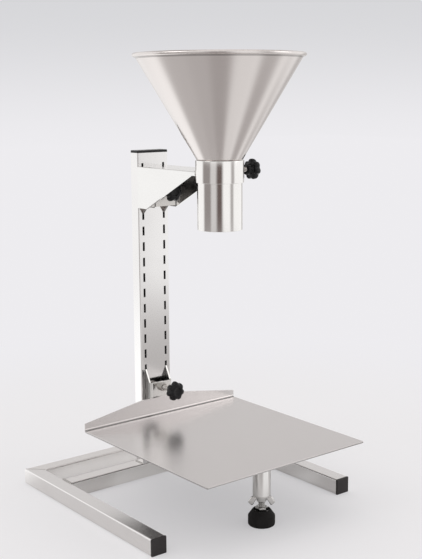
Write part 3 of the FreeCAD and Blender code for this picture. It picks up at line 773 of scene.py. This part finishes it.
def weld(
    name: str, body: str, slot: str, path: Any, normal: Triple,
    radius: float, closed: bool = False,
) -> None:
    """Lays a weld bead: a tube along a flat path whose radius swells with each ripple.

    The radius at path length s is r (1 + swell |sin(pi s / ripple)|), and it shrinks to
    nothing at both ends of an open bead.

    Args:
        name: name of the piece.
        body: body that it moves with.
        slot: the record's material slot.
        path: corner points of the path in metres.
        normal: normal of the path's plane.
        radius: mean radius of the tube.
        closed: whether the path is a loop.
    """
    corners = np.array(path, float)
    if closed:
        corners = np.vstack([corners, corners[:1]])
    lengths = np.concatenate([[0.0], np.cumsum(np.linalg.norm(np.diff(corners, axis=0), axis=1))])
    rows = max(8, int(lengths[-1] / RIPPLE * BEAD_ROWS))
    travel = np.linspace(0.0, lengths[-1], rows, endpoint=not closed)
    line = np.stack([np.interp(travel, lengths, corners[:, k]) for k in range(3)], 1)
    ahead = np.roll(line, -1, 0) - np.roll(line, 1, 0)
    if not closed:
        ahead[0] = line[1] - line[0]
        ahead[-1] = line[-1] - line[-2]
    ahead /= np.linalg.norm(ahead, axis=1, keepdims=True)
    up = np.array(normal, float)
    out = np.cross(ahead, up)
    out /= np.linalg.norm(out, axis=1, keepdims=True)
    size = 1.0 + SWELL * np.abs(np.sin(math.pi * travel / RIPPLE))
    if not closed:
        nearest = np.minimum(travel, lengths[-1] - travel) / (2.0 * radius)
        size = size * np.sqrt(np.clip(nearest, 0.02, 1.0))
    angle = full_turn(BEAD_SIDES)[:, None]
    tube = out[:, None, :] * np.cos(angle) + up * np.sin(angle)
    points = line[:, None, :] + tube * (radius * size)[:, None, None]
    piece = mesh_piece(name, points.reshape(-1, 3), capped_faces(rows, BEAD_SIDES, closed))
    work = bmesh.new()
    work.from_mesh(piece.data)
    bmesh.ops.recalc_face_normals(work, faces=work.faces)
    work.to_mesh(piece.data)
    work.free()
    install(piece, body, SEAM_STEEL, slot)


# Sub-assemblies


@dataclass
class FloorFrame:
    """Two mitred legs with plugs, the rear rail and the rail under the column."""

    bead: float = 1.1 * MM
    seam: float = 0.45 * MM
    inset: float = 1.2 * MM
    skew: float = 0.8 * MM
    lengthwise: Steel = Steel(
        "ground_leg", (0.79, 0.775, 0.77), 0.24, Grain.ALONG_Y, 0.006, 0.4, 70.0, 0.03, 0.04)
    crosswise: Steel = Steel(
        "ground_rail", (0.79, 0.77, 0.76), 0.24, Grain.ALONG_X, 0.006, 0.4, 70.0, 0.03, 0.04)
    plug: Moulded = Moulded("plug_black", (0.038, 0.034, 0.035), 0.42, 0.1)

    def build(self) -> None:
        """Softens the tubes and plugs and lays the weld seams."""
        for node in ("left_leg", "right_leg"):
            dress(node + "_tube", node, "stand", self.lengthwise, "base_tube")
            plug = node + "_plug"
            dress(plug + "_moulded", plug, "stand", self.plug, "plug_plastic", 0.0)
        for node in ("rear_rail", "column_rail"):
            dress(node + "_tube", node, "stand", self.crosswise, "base_tube")
        self.build_welds()

    def build_welds(self) -> None:
        """Beads where the column rail meets the legs and fine seams along the mitres."""
        (_, front, _), (_, back, top) = corners_of("column_rail")
        rear_low, rear_high = corners_of("rear_rail")
        inner = corners_of("right_leg")[0][0]
        foot = 2.0 * MM
        height = rear_high[2] - 0.3 * MM
        for sign, side in SIDES:
            x = sign * inner
            weld(side + "_rail_weld", "stand", "base_tube", [
                [x, front, foot], [x, front, top - self.inset], [x, front + self.inset, top],
                [x, back - self.inset, top], [x, back, top - self.inset], [x, back, foot]
            ], (1.0, 0.0, 0.0), self.bead)
            weld(side + "_mitre_seam", "stand", "base_tube", [
                [sign * (rear_high[0] - self.skew), rear_high[1] - self.skew, height],
                [sign * (inner + self.skew), rear_low[1] + self.skew, height]
            ], UP, self.seam)


@dataclass
class Column:
    """Slotted column with its cap."""

    bead: float = 1.1 * MM
    polished: Steel = Steel(
        "polished_column", (0.76, 0.75, 0.745), 0.12, Grain.ALONG_Z, 0.006, 0.4, 90.0, 0.05, 0.04)
    cap: Moulded = Moulded("cap_black", (0.02, 0.02, 0.021), 0.38, 0.15)

    def build(self) -> None:
        """Softens the tube and the cap, and welds the tube to its rail."""
        dress("column_tube", "slotted_column", "stand", self.polished, "column_steel", 0.15 * MM)
        dress("column_cap_moulded", "column_cap", "stand", self.cap, "cap_plastic", 0.0)
        (left, front, foot), (right, back, _) = corners_of("slotted_column")
        start = front + 1.0 * MM
        weld("column_weld", "stand", "column_steel", [
            [left, start, foot], [left, back, foot], [right, back, foot], [right, start, foot]
        ], UP, self.bead)


@dataclass
class Clamp:
    """Welded nut, threaded rod and star knob on one axis."""

    group: str
    carrier: str
    axis: Triple
    flats: float = 10.0 * MM
    nut_height: float = 5.0 * MM
    thread: float = 6.0 * MM
    pitch: float = 1.0 * MM
    hidden: float = 12.0 * MM
    outer: float = 12.5 * MM
    hub: float = 6.5 * MM
    nut_finish: Steel = Steel(
        "machined_nut", (0.45, 0.43, 0.41), 0.3, Grain.ALONG_Z, 0.02, 0.6, 4.0)
    rod_finish: Steel = Steel(
        "machined_rod", (0.5, 0.48, 0.46), 0.26, Grain.ALONG_Z, 0.01, 0.6, 4.0)
    knob_finish: Moulded = Moulded("knob_black", (0.008, 0.008, 0.009), 0.26, 0.15)

    def seat_at(self, node: str) -> Seat:
        """Seat at the end of a solid that the axis leaves from."""
        low, high = corners_of(node)
        start = (low + high - np.array(self.axis) * self.length_of(node)) / 2.0
        return Seat(tuple(start), self.axis, UP)

    def length_of(self, node: str) -> float:
        """Length of a solid along the axis."""
        low, high = corners_of(node)
        return abs(float(np.array(self.axis) @ (high - low)))

    def build(self) -> None:
        """Builds the three pieces of the clamp."""
        node = self.group + "_weld_nut"
        nut = hexagon_nut(self.group + "_hex_nut", self.seat_at(node), self.flats,
                          self.nut_height, self.thread / 2 + 0.05 * MM, False)
        install(nut, self.carrier, self.nut_finish, "nut_steel", node)
        node = self.group + "_screw"
        rod = threaded_rod(self.group + "_threaded_rod", self.seat_at(node),
                           self.length_of(node), self.thread, self.pitch, self.hidden)
        install(rod, node, self.rod_finish, "screw_steel", node)
        node = self.group + "_knob"
        profile = [(radius * MM, height * MM) for radius, height in KNOB_PROFILE]
        knob = turned(self.group + "_star_knob", self.seat_at(node), profile, 140,
                      Lobes(7, 2.4 * MM, self.outer, self.hub))
        install(knob, node, self.knob_finish, "knob_plastic", node)


@dataclass
class UpperBracket:
    """Folded bracket with its hook plates and the collar."""

    wall: float = 1.5 * MM
    # Painted shade inside the folded channel, under its top plate: the colour is darker there, and
    # the steel is rougher because it is unpolished.
    polished: Steel = Steel(
        "polished_sheet", (0.77, 0.765, 0.755), 0.13, Grain.ALONG_Y, 0.008, 0.5, 40.0, 0.06, 0.05,
        painted_shading=(PaintedShading((-22.2, -60.0, 300.0), (22.2, 90.0, 408.2), 0.58, 0.2),))
    # Painted shade in the slabs where the hook plates' cut edges stand, 14.9 to 17.1 mm to each
    # side of the middle, which are also rougher.
    inner: Steel = Steel(
        "polished_inner_sheet", (0.6, 0.58, 0.56), 0.26, Grain.ALONG_Z, 0.01, 0.5, 30.0,
        painted_shading=(PaintedShading((-17.1, -20.0, 300.0), (-14.9, 120.0, 420.0), 0.3, 0.1, 0.1),
                 PaintedShading((14.9, -20.0, 300.0), (17.1, 120.0, 420.0), 0.3, 0.1, 0.1)))
    ring: Steel = Steel(
        "polished_collar", (0.78, 0.765, 0.75), 0.11, Grain.ROUND, 0.006, 0.5, 60.0, 0.04, 0.03,
        (0.0, -46.5))

    def build(self) -> None:
        """Softens the plates, turns the collar and lays the weld beads."""
        body = "upper_bracket"
        dress("bracket_folded_channel", "bracket_channel", body, self.polished, "bracket_steel")
        dress("bracket_cross_sheet", "bracket_cross_plate", body, self.inner, "cross_plate_steel")
        for _, side in SIDES:
            node = side + "_hook_plate"
            dress(node + "_sheet", node, body, self.inner, "hook_plate_steel")
        low, high = corners_of("collar")
        centre = (low + high) / 2.0
        outer = (high[0] - low[0]) / 2.0
        height = high[2] - low[2]
        profile = rounded([
            (outer - self.wall, 0.0, 0.35 * MM), (outer, 0.0, 0.5 * MM),
            (outer, height, 0.5 * MM), (outer - self.wall, height, 0.35 * MM)])
        ring = turned("collar_ring", upright(centre, low[2]), profile, 160, closed=True)
        install(ring, body, self.ring, "collar_steel", "collar")
        self.build_welds(body, centre, outer)

    def build_welds(self, body: str, centre: Array, outer: float) -> None:
        """Lays the beads behind the collar and beside the cross plate.

        Args:
            body: body that the beads move with.
            centre: middle of the collar.
            outer: radius of the collar.
        """
        _, (half, _, top) = corners_of("bracket_channel")
        reach = math.asin(half / outer)
        angle = math.pi / 2 + np.linspace(-reach, reach, 25)
        path = polar(outer, angle, top) + (centre[0], centre[1], 0.0)
        weld("collar_top_weld", body, "bracket_steel", path, UP, 1.0 * MM)
        behind = centre[1] + math.sqrt(outer * outer - half * half)
        (_, front, low), (edge, _, high) = corners_of("bracket_cross_plate")
        for sign, side in SIDES:
            path = [[sign * half, behind, top - 0.5 * MM], [sign * half, behind, top - 5.0 * MM]]
            weld(side + "_collar_weld", body, "bracket_steel", path, ALONG_Y, 0.8 * MM)
        for sign, side in SIDES:
            path = [[sign * edge, front, high - 2.0 * MM], [sign * edge, front, low + 2.0 * MM]]
            weld(side + "_cross_plate_weld", body, "cross_plate_steel", path, ALONG_Y, 0.9 * MM)


@dataclass
class Funnel:
    """Conical hopper with a rolled rim on a straight spout."""

    sheet: float = 1.0 * MM
    rim: float = 2.3 * MM
    # Painted shadow in a thin band on the cone just under the rolled rim.
    brushed: Steel = Steel(
        "brushed_funnel", (0.66, 0.622, 0.606), 0.2, Grain.ROUND, 0.006, 0.45, 90.0, 0.025, 0.03,
        (0.0, -46.5), (PaintedShading((-160.0, -210.0, 538.6), (160.0, 120.0, 540.5), 0.6),))
    polished: Steel = Steel(
        "polished_spout", (0.78, 0.765, 0.75), 0.12, Grain.ROUND, 0.01, 0.5, 70.0, 0.05, 0.04,
        (0.0, -46.5))

    def build(self) -> None:
        """Turns the hopper and the spout."""
        low, high = corners_of("funnel_cone")
        neck_low, neck_high = corners_of("funnel_neck")
        neck = (neck_high[0] - neck_low[0]) / 2.0
        mouth = (high[0] - low[0]) / 2.0 - self.rim
        rise = high[2] - self.rim - low[2]
        slope = math.degrees(math.atan2(rise, mouth - neck))
        profile = [(neck - self.sheet, 0.0), (neck, 0.0)]
        profile += arc((mouth, rise), self.rim, 180.0 + slope, 540.0 + slope - 17.0, 32)
        centre = ((low[0] + high[0]) / 2.0, (neck_low[1] + neck_high[1]) / 2.0)
        hopper = turned("hopper", upright(centre, low[2]), profile, 192, closed=True)
        install(hopper, "funnel", self.brushed, "funnel_steel", "funnel_cone")
        length = neck_high[2] - neck_low[2]
        wall = rounded([
            (neck - self.sheet, 0.0, 0.3 * MM), (neck, 0.0, 0.4 * MM), (neck, length, 0.0),
            (neck - self.sheet, length, 0.0)])
        spout = turned("spout", upright(centre, neck_low[2]), wall, 160, closed=True)
        install(spout, "funnel", self.polished, "neck_steel", "funnel_neck")


@dataclass
class Tray:
    """Tray with its hook box."""

    # Painted shade in the fold at the flange's foot and a painted highlight in a line just above
    # it. Painted shade also on the flange's face, on the cut edges and under the tray, and the cut
    # edges and underside are rougher as well.
    satin: Steel = Steel(
        "satin_tray", (0.695, 0.67, 0.665), 0.24, Grain.ALONG_X, 0.005, 0.5, 80.0, 0.025, 0.04,
        painted_shading=(PaintedShading((-130.0, TRAY_FOLD - 1.4, 88.0), (130.0, TRAY_FOLD + 0.5, 90.0), 0.43),
                 PaintedShading((-130.0, TRAY_FOLD - 0.5, 90.4), (130.0, TRAY_FOLD + 0.5, 91.6), 1.36),
                 PaintedShading((-130.0, TRAY_FOLD - 0.5, 91.8), (130.0, TRAY_FOLD + 0.5, 130.0), 0.94),
                 PaintedShading((-130.0, -200.0, 87.1), (130.0, 80.0, 88.45), 0.64, 0.15),
                 PaintedShading((-130.0, -200.0, 80.0), (130.0, 80.0, 87.1), 0.27, 0.2)))
    # Painted shade inside the hook box behind its front plate, which is also rougher there, and
    # painted shade on the outer faces of its side plates.
    polished: Steel = Steel(
        "polished_box", (0.66, 0.65, 0.635), 0.14, Grain.ALONG_Z, 0.008, 0.5, 40.0, 0.06, 0.05,
        painted_shading=(PaintedShading((-14.9, TRAY_FOLD + 4.3, 80.0), (14.9, 110.0, 160.0), 0.35, 0.15),
                 PaintedShading((-19.0, TRAY_FOLD + 4.3, 80.0), (-17.1, 110.0, 160.0), 0.4, 0.1, 0.1),
                 PaintedShading((17.1, TRAY_FOLD + 4.3, 80.0), (19.0, 110.0, 160.0), 0.4, 0.1, 0.1)))

    def build(self) -> None:
        """Softens both sheets and welds them together."""
        body = "tray_assembly"
        dress("tray_sheet", "tray", body, self.satin, "tray_steel", 0.3 * MM)
        dress("hook_box_sheet", "tray_hook_box", body, self.polished, "hook_box_steel")
        (_, front, foot), (half, _, _) = corners_of("tray_hook_box")
        top = corners_of("tray")[1][2]
        behind = front + 0.5 * MM
        for sign, side in SIDES:
            x = sign * (half - 2.2 * MM)
            path = [[x, behind, foot + 1.0 * MM], [x, behind, top - 0.6 * MM]]
            weld(side + "_box_weld", body, "tray_steel", path, ALONG_Y, 1.1 * MM)


@dataclass
class SupportLeg:
    """Round leg under the tray, with its insert and levelling foot."""

    wall: float = 1.5 * MM
    bore: float = 4.05 * MM
    flange: float = 1.5 * MM
    polished: Steel = Steel(
        "polished_leg", (0.74, 0.73, 0.72), 0.12, Grain.ALONG_Z, 0.008, 0.5, 50.0, 0.05, 0.04)
    insert: Steel = Steel("insert_steel", (0.6, 0.59, 0.575), 0.22, Grain.ALONG_X, 0.01, 0.6, 5.0)
    stud: Steel = Steel("stud_steel", (0.42, 0.41, 0.4), 0.24, Grain.ALONG_Z, 0.01, 0.6, 4.0)
    wing: Steel = Steel("cast_steel", (0.6, 0.59, 0.58), 0.16, Grain.ALONG_Z, 0.01, 0.9, 3.0)
    rubber: Moulded = Moulded(
        "moulded_rubber", (0.0145, 0.0135, 0.0135), 0.62, grain_cells=2.4, grain_weight=0.6,
        grain_mm=0.05, wear_mm=9.0, wear_tint=(0.7, 1.7), wear_roughness=0.25, specular=0.08)

    def build(self) -> None:
        """Builds the leg, its insert and the pieces of the foot."""
        low, high = corners_of("support_leg")
        centre = (low + high) / 2.0
        outer = (high[0] - low[0]) / 2.0
        length = high[2] - low[2]
        tube = turned("leg_tube", upright(centre, low[2]), [
            (outer - self.wall, 0.0), (outer, 0.0), (outer, length), (outer - self.wall, length)
        ], 96, closed=True)
        install(tube, "tray_assembly", self.polished, "leg_tube_steel", "support_leg")
        ring = polar(outer, full_turn(60), high[2]) + (centre[0], centre[1], 0.0)
        weld("leg_weld", "tray_assembly", "leg_tube_steel", ring, UP, 1.1 * MM, closed=True)
        insert_low, insert_high = corners_of("leg_insert")
        rise = insert_high[2] - insert_low[2]
        inside = outer - self.wall - 0.05 * MM
        insert = turned("threaded_insert", upright(centre, insert_low[2]), rounded([
            (self.bore, 0.0, 0.3 * MM), (outer, 0.0, 0.4 * MM), (outer, self.flange, 0.0),
            (inside, self.flange, 0.0), (inside, rise, 0.3 * MM), (self.bore, rise, 0.3 * MM)
        ]), 96, closed=True)
        install(insert, "tray_assembly", self.insert, "nut_steel", "leg_insert")
        self.build_foot(centre)

    def build_foot(self, centre: Array) -> None:
        """Builds stud, wing nut, washer, nut and rubber pad."""
        low, high = corners_of("foot_stud")
        stud = threaded_rod("levelling_stud", upright(centre, low[2]), high[2] - low[2],
                            8.0 * MM, 1.25 * MM)
        install(stud, "foot_stud", self.stud, "screw_steel", "foot_stud")
        install(self.wing_nut(centre), "wing_nut", self.wing, "wing_nut_steel", "wing_nut")
        low, high = corners_of("foot_washer")
        thick = high[2] - low[2]
        washer = turned("pad_washer", upright(centre, low[2]), rounded([
            (self.bore, 0.0, 0.1 * MM), (high[0], 0.0, 0.2 * MM),
            (high[0], thick, 0.2 * MM), (self.bore, thick, 0.1 * MM)
        ], 3), 72, closed=True)
        install(washer, "foot_pad", self.insert, "nut_steel", "foot_washer")
        low, high = corners_of("foot_nut")
        nut = hexagon_nut("pad_nut", upright(centre, low[2]), high[1] - low[1],
                          high[2] - low[2], self.bore, True)
        install(nut, "foot_pad", self.wing, "nut_steel", "foot_nut")
        install(self.rubber_pad(centre), "foot_pad", self.rubber, "foot_rubber", "rubber_foot")

    def rubber_pad(self, centre: Array) -> Piece:
        """Rubber pad: rounded sole, straight side, sloped shoulder and recessed top."""
        low, high = corners_of("rubber_foot")
        outer = (high[0] - low[0]) / 2.0
        top = high[2]
        profile = rounded([
            (outer, 0.0, 2.4 * MM), (outer, 11.5 * MM, 1.2 * MM), (10.7 * MM, top, 0.9 * MM),
            (8.8 * MM, top, 0.5 * MM), (8.8 * MM, top - 3.0 * MM, 0.0),
            (self.bore, top - 3.0 * MM, 0.0), (self.bore, 5.7 * MM, 0.0), (0.5 * MM, 5.7 * MM, 0.0),
            (0.5 * MM, 0.0, 0.0)])[:-1]
        return turned("rubber_pad", upright(centre, 0.0), profile, 120)

    def wing_nut(self, centre: Array) -> Piece:
        """Hub and two cast wings.

        Each wing is a cushion over its outline: the point at share s from the middle to the
        outline lies t (1 - s^8)^0.5 off the middle plane.

        Args:
            centre: the leg's axis.

        Returns:
            The piece.
        """
        low, high = corners_of("wing_nut")
        top = high[2]
        drop = top - low[2]
        direction = np.array([math.cos(WING_TURN), math.sin(WING_TURN)])
        hub = rounded([
            (self.bore, -7.0 * MM, 0.3 * MM), (5.5 * MM, -7.0 * MM, 0.6 * MM),
            (7.0 * MM, -1.5 * MM, 0.8 * MM), (7.0 * MM, 0.0, 0.4 * MM),
            (self.bore, 0.0, 0.3 * MM)])
        outline = smooth_loop(np.array(WING_OUTLINE) * MM, 6)
        outline[:, 1] = np.maximum(outline[:, 1], -drop)
        middle = outline.mean(0)
        share = np.concatenate([np.linspace(0.02, 0.8, 5), [0.88, 0.94, 0.98, 1.0]])
        bulge = 1.3 * MM * np.sqrt(np.clip(1.0 - share ** 8, 0.0, 1.0))
        share = np.concatenate([share, share[-2::-1]])
        bulge = np.concatenate([bulge, -bulge[-2::-1]])
        flat = middle + (outline[None] - middle) * share[:, None, None]
        piece = turned("wing_nut_cast", upright(centre, top), hub, 72, closed=True)
        work = bmesh.new()
        work.from_mesh(piece.data)
        normal = np.array([-direction[1], direction[0]])
        for sign in (-1.0, 1.0):
            plan = direction * sign * flat[..., :1] + normal * bulge[:, None, None]
            points = np.concatenate([plan, flat[..., 1:]], -1) + (centre[0], centre[1], top)
            faces = capped_faces(*flat.shape[:2], False)
            corners = [work.verts.new(point) for point in points.reshape(-1, 3)]
            for face in faces:
                work.faces.new([corners[k] for k in face]).smooth = True
        bmesh.ops.recalc_face_normals(work, faces=work.faces)
        work.to_mesh(piece.data)
        work.free()
        return set_sharp(piece)


def smooth_loop(corners: Array, steps: int) -> Array:
    """Closed Catmull-Rom curve through corner points.

    Args:
        corners: (n, 2) points.
        steps: points for each span.

    Returns:
        (n * steps, 2) points.
    """
    before, here = np.roll(corners, 1, 0), corners
    after, beyond = np.roll(corners, -1, 0), np.roll(corners, -2, 0)
    t = (np.arange(steps) / steps)[None, :, None]
    b, h, a, c = (k[:, None, :] for k in (before, here, after, beyond))
    curve = 0.5 * (2 * h + (a - b) * t + (2 * b - 5 * h + 4 * a - c) * t ** 2
                   + (3 * h - b - 3 * a + c) * t ** 3)
    return curve.reshape(-1, 2)


# Studio


@dataclass
class Studio:
    """Pale floor, backdrop, soft lamps and the camera."""

    backdrop: Colour = (0.85, 0.84, 0.865)
    upper_backdrop: Colour = (0.68, 0.68, 0.7)
    floor_colour: Colour = (0.82, 0.81, 0.815)
    camera_at: Triple = (-0.7691, -1.0007, 0.5011)
    heading: float = -38.36
    tilt: float = -10.13
    roll: float = -0.34
    lens: float = 89.58
    fill: float = 0.8
    fill_colour: Colour = (1.0, 0.99, 0.98)
    lamp_colour: Colour = (1.0, 0.985, 0.97)
    aim: Triple = (0.0, -0.03, 0.25)
    horizon: Span = (-0.06, 0.09)
    upper_room: Span = (0.0, 0.15)
    zenith: Span = (0.4, 0.85)
    zenith_loss: float = 0.6
    floor_half: float = 8.0
    floor_glow: float = 0.45
    dim_floor_mm: Span = (190.0, 300.0)
    open_floor_mm: Span = (350.0, 900.0)
    far_floor_mm: Span = (500.0, 1700.0)

    def build(self) -> None:
        """Sets the view, the world, the floor, the lamps and the camera."""
        scene = bpy.context.scene
        scene.view_settings.view_transform = "Standard"
        self.build_world(scene)
        self.build_floor()
        self.build_lamps()
        self.build_camera(scene)

    def build_camera(self, scene: bpy.types.Scene) -> None:
        """Camera where the photograph was taken, turned by heading, tilt and roll."""
        data = bpy.data.cameras.new("camera")
        data.sensor_fit = "HORIZONTAL"
        data.sensor_width = 36.0
        data.lens = self.lens
        data.clip_start = 0.01
        data.clip_end = 50.0
        camera = linked("camera", data)
        turns = ((self.heading, "Z"), (90.0 + self.tilt, "X"), (self.roll, "Z"))
        place = Matrix.Translation(self.camera_at)
        for degrees, axis in turns:
            place = place @ Matrix.Rotation(math.radians(degrees), 4, axis)
        camera.matrix_world = place
        scene.camera = camera

    def banded(self, x: Signal, y: Signal, bands: Sequence[Band]) -> Signal:
        """Brightness of the room that the metal mirrors, in soft bands round the object.

        Args:
            x: the row frame's X, of a direction or a place.
            y: its Y.
            bands: bearing from the camera's side where a band starts and ends, softness of
                its edges, all in degrees, and its brightness.

        Returns:
            The brightness.
        """
        heading = math.radians(self.heading)
        toward = x * math.sin(heading) - y * math.cos(heading)
        right = x * math.cos(heading) + y * math.sin(heading)
        turn = right.math("ARCTAN2", toward) * (180.0 / math.pi)
        level: Signal | float = ROOM_LEVEL
        for start, end, soft, value in bands:
            level = turn.window(start, end, soft) * (value - ROOM_LEVEL) + level
        return level

    def build_world(self, scene: bpy.types.Scene) -> None:
        """World that fills the shadows and shows the metal a banded studio."""
        world = bpy.data.worlds.new("studio")
        scene.world = world
        graph = Graph(world)
        direction = graph.add("ShaderNodeTexCoord", out=0)
        x, y, z = graph.split(direction)
        low = self.banded(x, y, ROOM_BANDS)
        high = self.banded(x, y, HIGH_BANDS)
        level = low + z.step(*self.upper_room) * (high - low)
        level = level * (1.0 - z.step(*self.zenith) * self.zenith_loss)
        light = graph.add("ShaderNodeLightPath", out=0)
        glossy = graph.add("ShaderNodeLightPath", out=3)
        fill = graph.add("ShaderNodeBackground", None, self.fill_colour, self.fill)
        behind = graph.blend(z.step(*self.horizon), self.backdrop, self.upper_backdrop)
        shown = graph.add("ShaderNodeBackground", None, behind, 1.0)
        room = graph.blend(level, ROOM_DARK, ROOM_LIGHT)
        mirrored = graph.add("ShaderNodeBackground", None, room, 1.0)
        first = graph.add("ShaderNodeMixShader", None, glossy, fill, mirrored)
        last = graph.add("ShaderNodeMixShader", None, light, first, shown)
        graph.node("ShaderNodeOutputWorld", None, last)

    def build_floor(self) -> None:
        """Wide floor that keeps shadows near the object and fades into the backdrop."""
        signs = np.array([(-1, -1, 0), (1, -1, 0), (1, 1, 0), (-1, 1, 0)], float)
        floor = mesh_piece("floor", signs * self.floor_half, [(0, 1, 2, 3)])
        material = bpy.data.materials.new("studio_floor")
        graph = Graph(material)
        x, y, _ = graph.position()
        distance = (x * x + y * y).math("SQRT")
        grain = graph.noise(graph.vector(x, y, 0.0), 1.0 / 160.0, 2.0)
        colour = graph.tint(self.floor_colour, 0.99, 1.01, grain)
        diffuse = graph.add("ShaderNodeBsdfDiffuse", None, colour)
        camera = graph.add("ShaderNodeLightPath", out=0)
        glossy = graph.add("ShaderNodeLightPath", out=3)
        seen = graph.add("ShaderNodeEmission", None, self.backdrop, 1.0)
        reach = distance.step(*self.far_floor_mm)
        near = self.banded(x, y, FLOOR_BANDS)
        level = near + reach * (self.banded(x, y, ROOM_BANDS) - near)
        room = graph.blend(level, ROOM_DARK, ROOM_LIGHT)
        mirrored = graph.add("ShaderNodeEmission", None, room, 1.0)
        lit = graph.add("ShaderNodeMixShader", None, glossy, seen, mirrored)
        open_floor = distance.step(*self.open_floor_mm) * (1.0 - self.floor_glow) + self.floor_glow
        shown = glossy * (distance.step(*self.dim_floor_mm) * 0.8 + 0.2)
        away = (camera * open_floor).math("MAXIMUM", shown)
        mixed = graph.add("ShaderNodeMixShader", None, away, diffuse, lit)
        graph.node("ShaderNodeOutputMaterial", None, mixed)
        floor.data.materials.append(material)

    def build_lamps(self) -> None:
        """Large soft lamps round the object, each aimed at its middle."""
        target = Vector(self.aim)
        for name, place, width, height, power in STUDIO_LAMPS:
            data = bpy.data.lights.new(name, "AREA")
            data.shape = "RECTANGLE"
            data.size = width
            data.size_y = height
            data.energy = power
            data.color = self.lamp_colour
            lamp = linked(name, data)
            lamp.location = place
            lamp.rotation_euler = (target - Vector(place)).to_track_quat("-Z", "Y").to_euler()


def main() -> None:
    """Builds every sub-assembly, then the studio."""
    logging.basicConfig(level=logging.INFO, format="%(name)s: %(message)s")
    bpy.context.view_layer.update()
    for assembly in (FloorFrame(), Column(), UpperBracket(), Funnel(), Tray(), SupportLeg()):
        assembly.build()
    for group, carrier, axis in (
        ("bracket", "upper_bracket", (0.0, -1.0, 0.0)),
        ("collar", "upper_bracket", (1.0, 0.0, 0.0)),
        ("tray", "tray_assembly", (0.0, -1.0, 0.0)),
    ):
        Clamp(group, carrier, axis).build()
    Studio().build()


if __name__ == "__main__":
    main()
